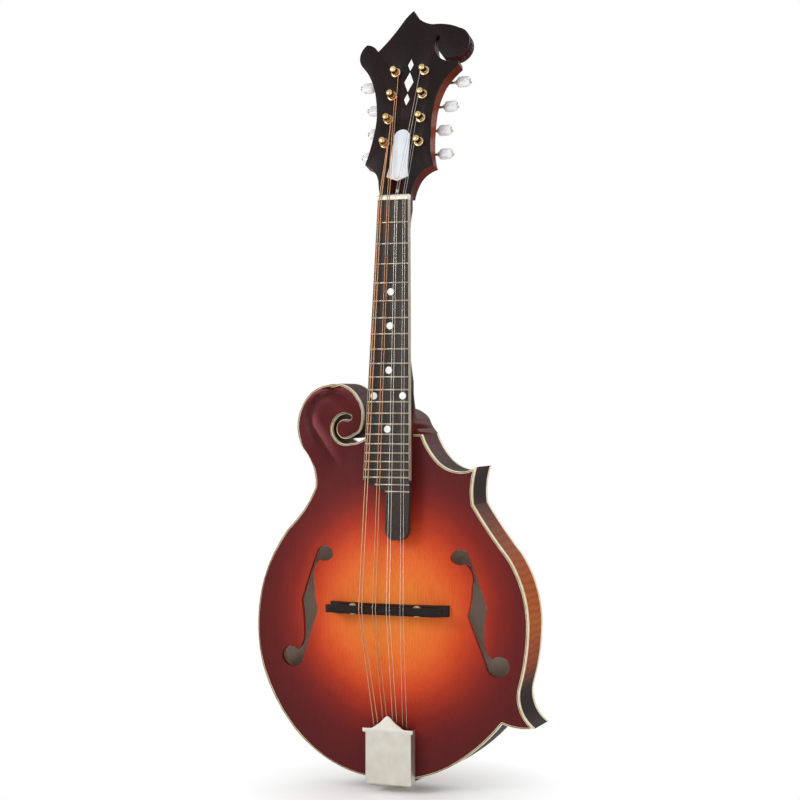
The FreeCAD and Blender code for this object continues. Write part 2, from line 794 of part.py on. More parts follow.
# Peghead outline as shares of its width and length, from the nut up the left side and over the top.
PEG_LEFT_SHARE = [
    (-0.13, 0.0), (-0.147, 0.033), (-0.172, 0.1), (-0.21, 0.146), (-0.312, 0.19),
]
PEG_WAIST_LEFT_SHARE = [
    (-0.312, 0.19), (-0.285, 0.26), (-0.262, 0.36), (-0.258, 0.44), (-0.28, 0.52), (-0.335, 0.62),
    (-0.42, 0.7), (-0.482, 0.78), (-0.43, 0.832), (-0.345, 0.81), (-0.32, 0.79),
]
PEG_CREST_LEFT_SHARE = [(-0.32, 0.79), (-0.215, 0.86), (-0.12, 0.94), (-0.03, 1.0)]
PEG_CREST_RIGHT_SHARE = [(-0.03, 1.0), (0.06, 0.94), (0.16, 0.918), (0.27, 0.914), (0.372, 0.906)]
PEG_LOBE_SHARE = [
    (0.43, 0.694), (0.375, 0.662), (0.3, 0.6), (0.258, 0.52), (0.245, 0.43), (0.25, 0.34), (0.265, 0.26),
    (0.305, 0.176),
]
PEG_RIGHT_SHARE = [(0.305, 0.176), (0.21, 0.146), (0.165, 0.11), (0.142, 0.07), (0.13, 0.0)]
PEG_SCROLL_CENTRE_SHARE = (0.368, 0.81)
PEG_SCROLL_RADIUS_SHARE = 0.1425


def peg_points(shares):
    return [V(x * size("peg_width"), 0, z * size("peg_length")) for x, z in shares]


def peg_wire():
    centre = peg_points([PEG_SCROLL_CENTRE_SHARE])[0]
    inner = PEG_SCROLL_RADIUS_SHARE * size("peg_width")
    outer = inner + size("peg_slot_width")

    def at(radius, degrees):
        turn = math.radians(degrees)
        return centre + V(radius * math.cos(turn), 0, radius * math.sin(turn))

    def bend(radius, start, end):
        return Part.Arc(at(radius, start), at(radius, (start + end) / 2), at(radius, end)).toShape()

    crest = peg_points(PEG_CREST_RIGHT_SHARE)[:-1] + [at(inner, 75)]
    turned, lip = -205.0, -72.0
    tip = at((inner + outer) / 2, turned - 6)
    edges = bows(peg_points(PEG_LEFT_SHARE)) + bows(peg_points(PEG_WAIST_LEFT_SHARE))
    edges += bows(peg_points(PEG_CREST_LEFT_SHARE)) + bows(crest)
    edges += [bend(inner, 75, turned), bend(outer, turned, lip)]
    edges.append(Part.Arc(at(inner, turned), tip, at(outer, turned)).toShape())
    lobe = peg_points(PEG_LOBE_SHARE)
    edges.append(line(at(outer, lip), lobe[0]))
    edges += bows(lobe) + bows(peg_points(PEG_RIGHT_SHARE))
    edges.append(line(peg_points(PEG_RIGHT_SHARE)[-1], peg_points(PEG_LEFT_SHARE)[0]))
    return wire_of(edges)


def post_places():
    first, last = size("post_half_first"), size("post_half_last")
    places = []
    for side in (-1, 1):
        for i in range(4):
            half = first + (last - first) * i / 3
            places.append(V(side * half, 0, size("post_first") + i * size("post_pitch")))
    return places


def post_holes(y0, y1):
    radius = "(sizes.post_diameter / 2 + sizes.bushing_bore_gap)"
    return Part.makeCompound([ring_slab(radius, spot, y0, y1) for spot in post_places()])


# The cover is a bell: round shoulders, straight sides that widen, and a pointed skirt.
def bell_wire(grow):
    length, width, start = size("cover_length"), size("cover_width"), size("cover_start")
    half = width / 2 + grow
    top = V(0, 0, start + length + grow)
    skirt = start + length * 0.08
    point = V(0, 0, start - grow)
    edges = []
    for side in (-1, 1):
        shoulder = V(side * half * 0.76, 0, start + length * 0.83)
        corner = V(side * half, 0, skirt)
        edges += arcs([top, shoulder], V(side, 0, 0), V(0, 0, -1))
        edges.append(line(shoulder, V(side * half * 0.82, 0, start + length * 0.3)))
        edges.append(line(V(side * half * 0.82, 0, start + length * 0.3), corner))
        edges.append(line(corner, point))
    return wire_of(edges)


def rod_pocket():
    half = size("rod_diameter")
    start, length = size("cover_start"), size("cover_length")
    veneer = size("peg_veneer")
    return box(-half, half, -veneer, size("peg_core_thickness") * 0.6, start * 0.4, start + length * 0.6)


def rod_axis():
    depth = size("board_thickness") + size("rod_diameter") * 1.2
    return V(0, depth, -size("rod_length")), V(0, depth, size("cover_start") * 0.6)


# Across the neck: straight cheeks under the board, and a round back of even flats.
def neck_section(z, half, depth, lift):
    cheek, sides = depth * 0.3, 9
    corners = [V(half, lift, z), V(-half, lift, z)]
    for step in range(sides + 1):
        turn = math.pi * step / sides
        corners.append(V(-half * math.cos(turn), lift + cheek + (depth - cheek) * math.sin(turn), z))
    return polygon(corners)


def neck_shaft():
    lift = size("board_thickness")
    deep_nut, deep_heel = size("neck_depth_nut"), size("neck_depth_heel")
    start, heel = -size("heel_start"), -JOINT_FALL
    full = size("body_depth") - size("edge_thickness")
    sections = []
    for z, depth in ((size("nut_thickness"), deep_nut), (start / 2, deep_nut), (start, deep_heel)):
        sections.append(neck_section(z, board_half(z), depth, lift))
    shaft = Part.makeLoft(sections, True, True)
    heel_sections = [neck_section(start, board_half(start), deep_heel, lift)]
    for share in (0.45, 0.8, 1.25):
        z = start + (heel - start) * share
        depth = deep_heel + (full - deep_heel) * smooth(share * 0.9 + 0.1)
        heel_sections.append(neck_section(z, board_half(z), depth, lift))
    return shaft.fuse(Part.makeLoft(heel_sections, True, False))


# The heel keeps the rim's full depth and spreads to the shoulder on the treble side.
def heel_block():
    top = [V(size("body_width") * x, 0, size("joint_z") + size("body_length") * z) for x, z in HEEL_SHARE]
    corner = V(top[0].x, 0, size("joint_z"))
    return slab(wire_of(bows(top) + [line(top[-1], corner), line(corner, top[0])]), FACE_Y, -FACE_Y)


def make_neck():
    veneer, core = size("peg_veneer"), size("peg_core_thickness")
    over, lift = size("overrun"), size("board_thickness")
    nut_end = size("nut_thickness")
    wire = peg_wire()
    clearance = post_holes(-over, core + veneer + over)
    pocket = rod_pocket()
    face_space = box(-size("peg_width"), size("peg_width"), -over, veneer + core * 2, nut_end, 2 * size("peg_length"))
    plate = slab(wire, veneer, veneer + core).common(face_space).cut(clearance).cut(pocket)
    overlay = slab(wire, 0, veneer).common(face_space).cut(clearance).cut(pocket).cut(inlays())
    shaft = placed(neck_shaft(), BOARD)
    joint_z, half = size("joint_z"), size("body_width")
    below = box(-half, half, -half, half, -half, joint_z)
    shaft = shaft.cut(below)
    riser_half = board_half(-size("riser_length")) - size("board_binding")
    riser = box(-riser_half, riser_half, lift, size("body_depth"), -size("riser_length"), over - JOINT_FALL)
    riser = placed(riser, BOARD).common(below).cut(box(-half, half, FACE_Y, half, -half, joint_z))
    riser = riser.cut(TOP_FACE)
    head = placed(plate, PEG)
    neck = shaft.fuse([heel_block(), riser.Solids[0], head, tenon_space(0).common(below)])
    start, end = rod_axis()
    channel = placed(rod(size("rod_diameter") / 2, start, end), BOARD)
    face_cut = placed(box(-half, half, -half, 0, nut_end, half), PEG)
    neck = neck.cut([channel, face_cut, placed(pocket, PEG)])
    keep("peghead_overlay", placed(overlay, PEG))
    keep("peghead_inlay", placed(inlays(), PEG))
    keep("neck", neck.removeSplitter())
    length = "sizes.rod_length + sizes.cover_start * 0.6"
    steel = cylinder("truss_rod", "sizes.rod_diameter / 2", length, start, V(0, 0, 1))
    steel.Placement = SEAT.multiply(BOARD).multiply(steel.Placement)
    PARTS.append(steel)
    cover = new_body("truss_rod_cover", PEG)
    outline = sketch_on(cover, "XZ_Plane")
    draw_outline(outline, bell_wire(0))
    pad(cover, outline, "sizes.cover_thickness")


# Plain pearl lozenges in a row up the middle of the peghead.
def inlays():
    depth, centre = size("peg_veneer") / 2, size("post_first") + size("post_pitch") * 2.55
    tall = size("post_pitch") * 0.42
    pieces = []
    for share, step in ((0.6, -1.25), (1.0, 0.0), (0.6, 1.25)):
        high, wide = tall * share, tall * share * 0.45
        z = centre + step * tall * 1.4
        rim = [V(0, 0, z + high), V(wide, 0, z), V(0, 0, z - high), V(-wide, 0, z)]
        pieces.append(slab(polygon(rim), 0, depth))
    return Part.makeCompound(pieces)


STRING_SIZES = ["string_" + name for name in "ggddaaee"]


def string_gauges():
    return [size(name) for name in STRING_SIZES]


def string_x(spread, pair_gap):
    places = []
    for pair in range(4):
        centre = spread * (pair / 3 - 0.5)
        places += [centre - pair_gap / 2, centre + pair_gap / 2]
    return places


def make_nut():
    nut = new_body("nut", BOARD)
    low, top = "sizes.board_thickness", "(sizes.board_thickness - sizes.nut_height)"
    thick, shoulder = "sizes.nut_thickness", "sizes.board_thickness - sizes.nut_height * 0.72"
    section = sketch_on(nut, "YZ_Plane")
    draw_polygon(section, [(top, "0"), (top, thick + " * 0.6"), (shoulder, thick), (low, thick), (low, "0")])
    pad(nut, section, "2 * sizes.board_half_nut", False, True)
    slots = sketch_on(nut, "XY_Plane")
    for x, name in zip(string_x(size("nut_spread"), size("nut_pair_gap")), STRING_SIZES):
        reach = "(sizes.%s / 2 + sizes.string_seat_gap)" % name
        left, right = "%.9g - %s" % (x, reach), "%.9g + %s" % (x, reach)
        over, seat = "-sizes.nut_height", "-sizes.action_nut"
        draw_polygon(slots, [(left, over), (right, over), (right, seat), (left, seat)])
    pocket(nut, slots)


make_fingerboard()
make_neck()
make_nut()


# Tuners: a worm on each button's shaft turns a gear on the foot of each string post.
# They are drawn for the right row, in a frame at the post with +X outwards and +Y into the peghead.
BUTTON_REACH_SHARE = (1.26, 1.1, 1.36, 1.99)
BACK = "(sizes.peg_veneer + sizes.peg_core_thickness)"
PLATE_END = "(%s + sizes.plate_thickness)" % BACK
GEAR_START = "(%s + sizes.gear_gap)" % PLATE_END
SHAFT_DEPTH = "(%s + sizes.gear_thickness / 2)" % GEAR_START
PITCH_RADIUS = "(sizes.gear_module * sizes.gear_teeth / 2)"
SHAFT_LEVEL = "(%s + sizes.worm_diameter / 2 - 0.9 * sizes.gear_module)" % PITCH_RADIUS
LUG_START = "(sizes.worm_turns * pi * sizes.gear_module / 2 + sizes.lug_gap)"
ROW_STEP = "sqrt(sizes.post_pitch ^ 2 + ((sizes.post_half_first - sizes.post_half_last) / 3) ^ 2)"
ADDENDUM = 0.9 * size("gear_module")
DEDENDUM = 1.2 * size("gear_module")
GEAR_RADIUS = worth(PITCH_RADIUS)
WORM_RADIUS = size("worm_diameter") / 2 - ADDENDUM
SHAFT_Y = worth(SHAFT_DEPTH)
SHAFT_Z = -worth(SHAFT_LEVEL)
WORM_PITCH = math.pi * size("gear_module")
WORM_HALF = size("worm_turns") * WORM_PITCH / 2
FLANK = math.tan(math.radians(20))
STEPS = 8


# The worm is a screw surface of flat facets, eight to the turn, cut square at both ends.
def worm():
    half = 0.32 * WORM_PITCH / 2
    root, tip = WORM_RADIUS - DEDENDUM, WORM_RADIUS + ADDENDUM
    wide, narrow = half + DEDENDUM * FLANK, half - ADDENDUM * FLANK
    profile = [(-wide, root), (-narrow, tip), (narrow, tip), (wide, root)]
    turns = int(size("worm_turns")) + 3
    first = -(turns // 2) * WORM_PITCH

    def place(index, step):
        thread, corner = divmod(index, 4)
        along, radius = profile[corner]
        turn = 2 * math.pi * step / STEPS
        x = first + (thread + step / STEPS) * WORM_PITCH + along
        return V(x, SHAFT_Y + radius * math.sin(turn), SHAFT_Z + radius * math.cos(turn))

    faces = []
    last = 4 * (turns - 1)
    for index in range(last):
        for step in range(STEPS):
            a, b = place(index, step), place(index + 1, step)
            c, d = place(index + 1, step + 1), place(index, step + 1)
            faces += [Part.Face(polygon([a, b, c])), Part.Face(polygon([a, c, d]))]
    for start, out in ((0, -1), (last, 1)):
        loop = [place(start, step) for step in range(STEPS + 1)]
        loop += [place(start + k, 0) for k in (3, 2, 1)]
        hub = V(loop[0].x + (out + 0.5) * WORM_PITCH, SHAFT_Y, SHAFT_Z)
        for i, p in enumerate(loop):
            faces.append(Part.Face(polygon([hub, p, loop[(i + 1) % len(loop)]])))
    screw = Part.Solid(Part.Shell(faces))
    if screw.Volume < 0:
        screw.reverse()
    reach = size("worm_diameter")
    return screw.common(box(-WORM_HALF, WORM_HALF, 0, SHAFT_Y + reach, SHAFT_Z - reach, 0))


def shaft_rod(radius, x0, x1):
    return rod(radius, V(x0, SHAFT_Y, SHAFT_Z), V(x1, SHAFT_Y, SHAFT_Z))


def lug_inner():
    return WORM_HALF + size("lug_gap")


def lug_outer():
    return lug_inner() + size("lug_thickness")


def button_centre(index):
    return BUTTON_REACH_SHARE[index] * size("post_half_first")


def worm_shaft(index, screw):
    radius = size("shaft_diameter") / 2
    end = button_centre(index) + size("button_length") / 2 + size("lug_gap") * 3
    turns = [math.radians(30 * step) for step in range(12)]
    ring = [V(-WORM_HALF, SHAFT_Y + radius * math.sin(t), SHAFT_Z + radius * math.cos(t)) for t in turns]
    inner = Part.Face(polygon(ring)).extrude(V(WORM_HALF - lug_outer() - size("lug_gap") * 2, 0, 0))
    return screw.fuse([inner, shaft_rod(radius, WORM_HALF, end)])


# A button is an oval plate of flat facets, thick enough to take the shaft through its middle.
def make_button(label, side, index, place):
    half, wide = "sizes.button_length / 2", "sizes.button_width / 2"
    centre = "%.9g * sizes.post_half_first" % (side * BUTTON_REACH_SHARE[index])
    shares = [(-1, 0.3), (-0.82, 0.72), (-0.4, 0.98), (0.4, 0.98), (0.82, 0.72), (1, 0.3)]
    shares += [(x, -z) for x, z in reversed(shares)]
    body = new_body(label, place)
    outline = sketch_on(body, "XZ_Plane", "-" + SHAFT_DEPTH)
    corners = [("%s + %g * %s" % (centre, x, half), "%g * %s - %s" % (z, wide, SHAFT_LEVEL)) for x, z in shares]
    draw_polygon(outline, corners)
    pad(body, outline, "sizes.button_thickness", False, True)
    bore = sketch_on(body, "YZ_Plane")
    draw_polygon(bore, flats("(sizes.shaft_diameter / 2)", SHAFT_DEPTH, "-" + SHAFT_LEVEL))
    pocket(body, bore)


# A turned post with a hole for the string's end, and a straight-cut gear on its foot.
def make_string_post(label, hole_height, hole_turn, place):
    body = new_body(label, place)
    radius, gear_end = "sizes.post_diameter / 2", "(%s + sizes.gear_thickness)" % GEAR_START
    section = sketch_on(body, "XY_Plane")
    top = "-sizes.post_height"
    draw_polygon(section, [("0", top), (radius, top), (radius, gear_end), ("0", gear_end)])
    revolve(body, section, "Y_Axis")
    root = GEAR_RADIUS - DEDENDUM
    wide, narrow = WORM_PITCH / 5 + DEDENDUM * FLANK, WORM_PITCH / 5 - ADDENDUM * FLANK
    low, high = math.degrees(math.asin(wide / root)), math.degrees(math.asin(narrow / (GEAR_RADIUS + ADDENDUM)))
    inner, outer = PITCH_RADIUS + " - 1.2 * sizes.gear_module", PITCH_RADIUS + " + 0.9 * sizes.gear_module"
    step, corners = 360 / size("gear_teeth"), []
    for tooth in range(int(size("gear_teeth"))):
        middle = (tooth + 0.5) * step
        for turn, reach in ((-low, inner), (-high, outer), (high, outer), (low, inner)):
            at = middle + turn
            corners.append(("(%s) * cos(%.9g deg)" % (reach, at), "(%s) * sin(%.9g deg)" % (reach, at)))
    teeth = sketch_on(body, "XZ_Plane", "-" + GEAR_START)
    draw_polygon(teeth, corners)
    pad(body, teeth, "sizes.gear_thickness", True)
    hole = sketch_on(body, "XY_Plane")
    hole.AttachmentOffset = FreeCAD.Placement(V(0, 0, 0), FreeCAD.Rotation(V(0, 1, 0), 90 - math.degrees(hole_turn)))
    draw_polygon(hole, flats("(sizes.post_hole / 2)", "0", "%.9g" % -hole_height))
    pocket(body, hole)


def row_frames(side):
    first, last = size("post_half_first"), size("post_half_last")
    slant = math.degrees(math.atan2(first - last, 3 * size("post_pitch")))
    spots = post_places()[:4] if side < 0 else post_places()[4:]
    return [FreeCAD.Placement(p, FreeCAD.Rotation(V(0, 1, 0), -side * slant)) for p in spots]


def to_row(shape, side, frame):
    if side < 0:
        shape = shape.mirror(V(0, 0, 0), V(1, 0, 0))
    return placed(placed(shape, frame), PEG)


# One plate carries a row of four: two lugs for each worm shaft and a hole for each post.
def make_tuner_plate(label, place):
    body = new_body(label, place)
    half, margin = "sizes.plate_width / 2", "sizes.plate_margin"
    outline = sketch_on(body, "XZ_Plane", "-" + BACK)
    high = "3 * %s + %s" % (ROW_STEP, margin)
    draw_polygon(outline, [("-" + half, "-" + margin), (half, "-" + margin), (half, high), ("-" + half, high)])
    pad(body, outline, "sizes.plate_thickness", True)
    lugs = sketch_on(body, "XZ_Plane", "-" + PLATE_END)
    outer = "(%s + sizes.lug_thickness)" % LUG_START
    low, top = "-%s - sizes.worm_diameter / 2" % SHAFT_LEVEL, "-%s + sizes.worm_diameter / 2" % SHAFT_LEVEL
    for sign in ("-", ""):
        x0, x1 = sign + LUG_START, sign + outer
        draw_polygon(lugs, [(x0, low), (x1, low), (x1, top), (x0, top)])
    reach = "sizes.gear_gap + sizes.gear_thickness / 2 + sizes.worm_diameter / 2"
    ears = pad(body, lugs, reach, True)
    bore = sketch_on(body, "XZ_Plane")
    draw_polygon(bore, flats("(sizes.post_diameter / 2 + sizes.bushing_bore_gap)"))
    hole = pocket(body, bore)
    bearing = sketch_on(body, "YZ_Plane")
    draw_polygon(bearing, flats("(sizes.shaft_diameter / 2 + sizes.shaft_gap)", SHAFT_DEPTH, "-" + SHAFT_LEVEL))
    eyes = pocket(body, bearing)
    row_of(body, [ears, hole, eyes], "Z_Axis", "3 * " + ROW_STEP, 4)


def make_bushings():
    rings = []
    for i, spot in enumerate(post_places()):
        front = V(spot.x, -size("bushing_flange"), spot.z)
        inward = V(0, 1, 0)
        flange = cylinder("bushing_flange_%d" % i, "sizes.bushing_diameter / 2", "sizes.bushing_flange", front, inward, "Prism")
        radius = "(sizes.post_diameter / 2 + sizes.bushing_bore_gap) / cos(15 deg)"
        through = "sizes.bushing_flange + 2 * sizes.overrun"
        start = front - V(0, size("overrun"), 0)
        bore = cylinder("bushing_bore_%d" % i, radius, through, start, inward, "Prism")
        ring = DOC.addObject("Part::Cut", "bushing_%d" % i)
        ring.Base, ring.Tool = flange, bore
        rings.append(ring)
    joined("Part::Compound", "post_bushings", "Links", rings, PEG)


def make_tuners():
    make_bushings()
    screw = worm()
    for side, name in ((-1, "bass"), (1, "treble")):
        frames = row_frames(side)
        make_tuner_plate(name + "_tuner_plate", PEG.multiply(frames[0]))
        for i, frame in enumerate(frames):
            label = "%s_%d" % (name, i + 1)
            height, turn = hole_of(side, i)
            turn = turn if side > 0 else math.pi - turn
            here = PEG.multiply(frame)
            keep("worm_shaft_" + label, to_row(worm_shaft(i, screw), side, frame))
            make_button("tuner_button_" + label, side, i, here)
            make_string_post("string_post_" + label, height, turn, here)


# Strings: each runs from its hook over the saddle and nut, winds round its post and ends in the post's hole.
def posts_of_strings():
    return [(-1, 0), (-1, 1), (-1, 2), (-1, 3), (1, 3), (1, 2), (1, 1), (1, 0)]


def winding(gauge):
    radius = gauge / 2
    hold = size("post_diameter") / 2 + radius + 2 * size("string_seat_gap")
    start = size("bushing_flange") + size("winding_gap") / 2 + radius
    climb = gauge + size("winding_gap")
    return hold, start, climb


def tuck(gauge):
    hold = winding(gauge)[0]
    bend = gauge * 1.1
    slack = min(size("post_hole") / 2 - gauge * 0.6 - size("string_seat_gap"), bend)
    lead = math.asin((bend - slack) / (hold - bend))
    return bend, slack, lead


def hole_of(side, index):
    string = posts_of_strings().index((side, index))
    gauge = string_gauges()[string]
    start, climb = winding(gauge)[1:]
    lead = tuck(gauge)[2]
    turned = 2 * math.pi * size("winding_turns")
    return start + climb * size("winding_turns"), math.pi - turned - lead


def winding_edges(side, index, gauge, arrive):
    hold, start, climb = winding(gauge)
    bend, slack, lead = tuck(gauge)
    radius = size("post_diameter") / 2
    quarters = int(round(4 * size("winding_turns")))
    full = 2 * math.pi * size("winding_turns")

    def on_post(x, z, turn, height):
        c, s = math.cos(turn), math.sin(turn)
        return V(x * c - z * s, -height, x * s + z * c)

    def helix(turn):
        return on_post(hold, 0, turn, start + climb * turn / (2 * math.pi))

    def helix_heading(turn):
        return V(-hold * math.sin(turn), -climb / (2 * math.pi), hold * math.cos(turn)).normalize()

    edges = []
    heading_now = arrive
    for quarter in range(quarters):
        t0, t1 = full * quarter / quarters, full * (quarter + 1) / quarters
        edges += biarc(helix(t0), heading_now, helix(t1), helix_heading(t1))
        heading_now = helix_heading(t1)
    hole_turn, height = full + lead, start + climb * size("winding_turns")
    inside = on_post((hold - bend) * math.cos(lead), slack, hole_turn, height)
    inward = on_post(-1, 0, hole_turn, 0)
    edges += biarc(helix(full), heading_now, inside, inward)
    edges.append(line(inside, on_post(-radius * 0.4, slack, hole_turn, height)))
    return edges


def rounded_run(points, radii):
    edges, at = [], points[0]
    for i, radius in enumerate(radii, start=1):
        back = (points[i - 1] - points[i]).normalize()
        ahead = (points[i + 1] - points[i]).normalize()
        turn = math.pi - back.getAngle(ahead)
        reach = radius * math.tan(turn / 2)
        into, out = points[i] + back * reach, points[i] + ahead * reach
        edges += [line(at, into), arc_edge(into, back * -1, out)]
        at = out
    edges.append(line(at, points[-1]))
    return edges


def string_path(number):
    gauge = string_gauges()[number]
    radius = gauge / 2
    gap = size("string_seat_gap")
    side, index = posts_of_strings()[number]
    post = post_places()[index if side < 0 else 4 + index]
    hold, start, climb = winding(gauge)
    contact = PEG.multVec(post + V(-side * hold, -start, 0))
    lift = OUTWARD * (radius + gap)
    nut_x = string_x(size("nut_spread"), size("nut_pair_gap"))[number]
    saddle_x = string_x(size("saddle_spread"), size("saddle_pair_gap"))[number]
    hook_x = hook_places()[number]
    saddle = SADDLE + lift + V(saddle_x, 0, 0)
    nut = NUT + ALONG * (size("nut_thickness") * 0.7) + lift + V(nut_x, 0, 0)
    bow = size("hook_diameter") / 2 + radius + gap
    plane = -worth(TAIL_FRONT) - size("hook_height") / 2
    pin = V(hook_x, plane, size("hook_z"))
    turned, free = pin + V(bow, 0, 0), pin - V(bow, 0, 0)
    foot = turned + V(0, 0, size("hook_diameter") * 2)
    tail = free + V(0, 0, size("hook_diameter") * 1.5)
    hoop = Part.Arc(free, pin - V(0, 0, bow), turned).toShape()
    bends = [size("hook_diameter") * 3, size("saddle_crest") * 2.5, size("nut_thickness") * 0.45]
    edges = [line(tail, free), hoop] + rounded_run([turned, foot, saddle, nut, contact], bends)
    arrive = (contact - nut).normalize()
    arrive = PEG.inverse().Rotation.multVec(arrive)
    if side > 0:
        arrive.x = -arrive.x
    turns = Part.Wire(winding_edges(side, index, gauge, arrive))
    if side > 0:
        turns = turns.mirror(V(0, 0, 0), V(1, 0, 0))
    turns.translate(post)
    return edges + placed(turns, PEG).Edges, tail, V(0, 0, -1)


# A wire's section is the square of the round wire's area, with its flats to the post and the saddle.
def tube(edges, start, direction, gauge):
    across = direction.cross(V(1, 0, 0)).normalize()
    other = direction.cross(across)
    reach = gauge * math.sqrt(math.pi) / 4
    corners = [start + across * (reach * a) + other * (reach * b) for a, b in ((1, 1), (1, -1), (-1, -1), (-1, 1))]
    return Part.Wire(edges).makePipeShell([polygon(corners)], True, False)


def hook_places():
    return [(number - 3.5) * size("hook_pitch") for number in range(8)]


# The least gap between two stretches of one wire, measured on points near its post.
def gap_to_itself(path, gauge):
    spacing = size("winding_gap") / 4
    near = int(12 * size("post_diameter") / spacing)
    points = path.discretize(Distance=spacing)[-near:]
    apart = int(2 * size("post_diameter") / spacing)
    return min((a - b).Length for i, a in enumerate(points) for b in points[i + apart :]) - gauge


def make_strings():
    tubes = []
    for number, gauge in enumerate(string_gauges()):
        edges, start, direction = string_path(number)
        wire = tube(edges, start, direction, gauge)
        path = Part.Wire(edges)
        least = min(edge.Curve.Radius for edge in edges if isinstance(edge.Curve, Part.Circle))
        share = wire.Volume / (math.pi * gauge * gauge / 4 * path.Length)
        gap = gap_to_itself(path, gauge)
        print("string", number + 1, "length", round(path.Length, 1), "least radius", round(least, 2), end=" ")
        print("volume over section times length", round(share, 3), "least gap to itself", round(gap, 2))
        if gap < 0.4 or least < gauge:
            raise RuntimeError("string %d winds too tightly" % (number + 1))
        tubes.append(wire)
    keep("wound_strings", Part.makeCompound(tubes[:4]))
    keep("plain_strings", Part.makeCompound(tubes[4:]))


# Bridge: a base shaped to the arch, two threaded posts, two thumbwheels and the saddle that they carry.
def base_top():
    return FACE_Y - size("arch_height") - size("bridge_base_rise")


def wheel_bottom():
    return base_top() - size("wheel_gap")


def saddle_bottom():
    return wheel_bottom() - size("wheel_thickness")


def bridge_rods(radius, y0, y1):
    half = size("bridge_post_spacing") / 2
    return [rod(radius, V(x, y0, size("saddle_z")), V(x, y1, size("saddle_z"))) for x in (-half, half)]


def bridge_spot(side, y):
    return V(side * size("bridge_post_spacing") / 2, y, size("saddle_z"))


def bar(profile, thickness):
    wire = polygon([V(x, y, size("saddle_z") - thickness / 2) for x, y in profile])
    return Part.Face(wire).extrude(V(0, 0, thickness))


def make_bridge():
    half, top = size("bridge_length") / 2, base_top()
    rise, foot = size("bridge_base_rise"), size("bridge_foot_height")
    radius, over = size("bridge_post_diameter") / 2, size("overrun")
    edge = FACE_Y - arch(half, size("saddle_z")) - foot
    profile = [(-half, FACE_Y), (-half, edge), (-half * 0.8, top), (half * 0.8, top), (half, edge)]
    base = bar(profile + [(half, FACE_Y)], size("bridge_thickness")).cut(TOP_FACE)
    keep("bridge_base", base.cut(bridge_rods(radius, top + rise, saddle_bottom() - rise)))
    tall = "2 * sizes.bridge_base_rise + sizes.wheel_gap + sizes.wheel_thickness"
    posts = []
    for side, name in ((-1, "bass"), (1, "treble")):
        base_point, out = bridge_spot(side, top + rise), V(0, -1, 0)
        posts.append(cylinder(name + "_bridge_post", "sizes.bridge_post_diameter / 2", tall, base_point, out))
        low = bridge_spot(side, wheel_bottom())
        disc = cylinder(name + "_disc", "sizes.wheel_diameter / 2", "sizes.wheel_thickness", low, out)
        hole, deep = "sizes.bridge_post_diameter / 2 + sizes.wheel_post_gap", "sizes.wheel_thickness + 2 * sizes.overrun"
        bore = cylinder(name + "_disc_bore", hole, deep, low + V(0, over, 0), out)
        wheel = DOC.addObject("Part::Cut", name + "_thumbwheel")
        wheel.Label = name + "_thumbwheel"
        wheel.Base, wheel.Tool = disc, bore
        wheel.Placement = SEAT
        PARTS.append(wheel)
    joined("Part::Compound", "bridge_posts", "Links", posts, FreeCAD.Placement())
    make_saddle()


def make_saddle():
    saddle = new_body("bridge_saddle", FreeCAD.Placement(V(0, saddle_bottom(), size("saddle_z")), FreeCAD.Rotation()))
    tall = (
        "(sizes.string_height - sizes.arch_height - sizes.bridge_base_rise - sizes.wheel_gap - sizes.wheel_thickness)"
    )
    ends, knee = "sizes.bridge_length * 0.485", "-0.55 * " + tall
    crest_end = ends + " * 0.93"
    front = sketch_on(saddle, "XY_Plane")
    draw_polygon(front, [
        ("-" + ends, "0"), ("-" + ends, knee), ("-" + crest_end, "-" + tall), (crest_end, "-" + tall),
        (ends, knee), (ends, "0"),
    ])
    pad(saddle, front, "sizes.saddle_thickness", False, True)
    for sign in ("-", ""):
        land, thick = sign + "sizes.saddle_crest / 2", sign + "sizes.saddle_thickness / 2"
        wedge = sketch_on(saddle, "YZ_Plane")
        draw_polygon(wedge, [("-" + tall, land), ("-0.6 * " + tall, thick), ("-2 * " + tall, thick + " * 2")])
        pocket(saddle, wedge)
    holes = sketch_on(saddle, "XZ_Plane")
    for sign in ("-", ""):
        radius = "sizes.bridge_post_diameter / 2 + sizes.saddle_post_gap"
        draw_circle(holes, sign + "sizes.bridge_post_spacing / 2", "0", radius)
    pocket(saddle, holes, "sizes.bridge_base_rise * 1.15", True)


TAIL_FRONT = "(sizes.body_depth / 2 + sizes.tail_base_rise + sizes.tail_sheet)"
COVER_LOW = "(sizes.body_depth / 2 + sizes.tail_cover_clear)"


def make_tailpiece():
    base = new_body("tailpiece_base", FreeCAD.Placement())
    sheet, length = "sizes.tail_sheet", "sizes.tail_base_length"
    foot = "sizes.tail_foot_depth - sizes.body_depth / 2"
    inside = "-%s + %s" % (TAIL_FRONT, sheet)
    section = sketch_on(base, "YZ_Plane")
    draw_polygon(section, [
        ("-" + TAIL_FRONT, "-" + sheet), ("-" + TAIL_FRONT, length), (inside, length), (inside, "0"),
        (foot, "0"), (foot, "-" + sheet),
    ])
    pad(base, section, "sizes.tail_base_width", False, True)
    hook = sketch_on(base, "XZ_Plane", TAIL_FRONT)
    stub = "(sizes.hook_diameter / 2 * cos(15 deg))"
    draw_polygon(hook, flats(stub, "-3.5 * sizes.hook_pitch", "sizes.hook_z"))
    row_of(base, [pad(base, hook, "sizes.hook_height")], "X_Axis", "7 * sizes.hook_pitch", 8)
    hole = sketch_on(base, "XY_Plane")
    draw_circle(hole, "0", "0", "sizes.end_pin_shank_diameter / 2")
    pocket(base, hole)


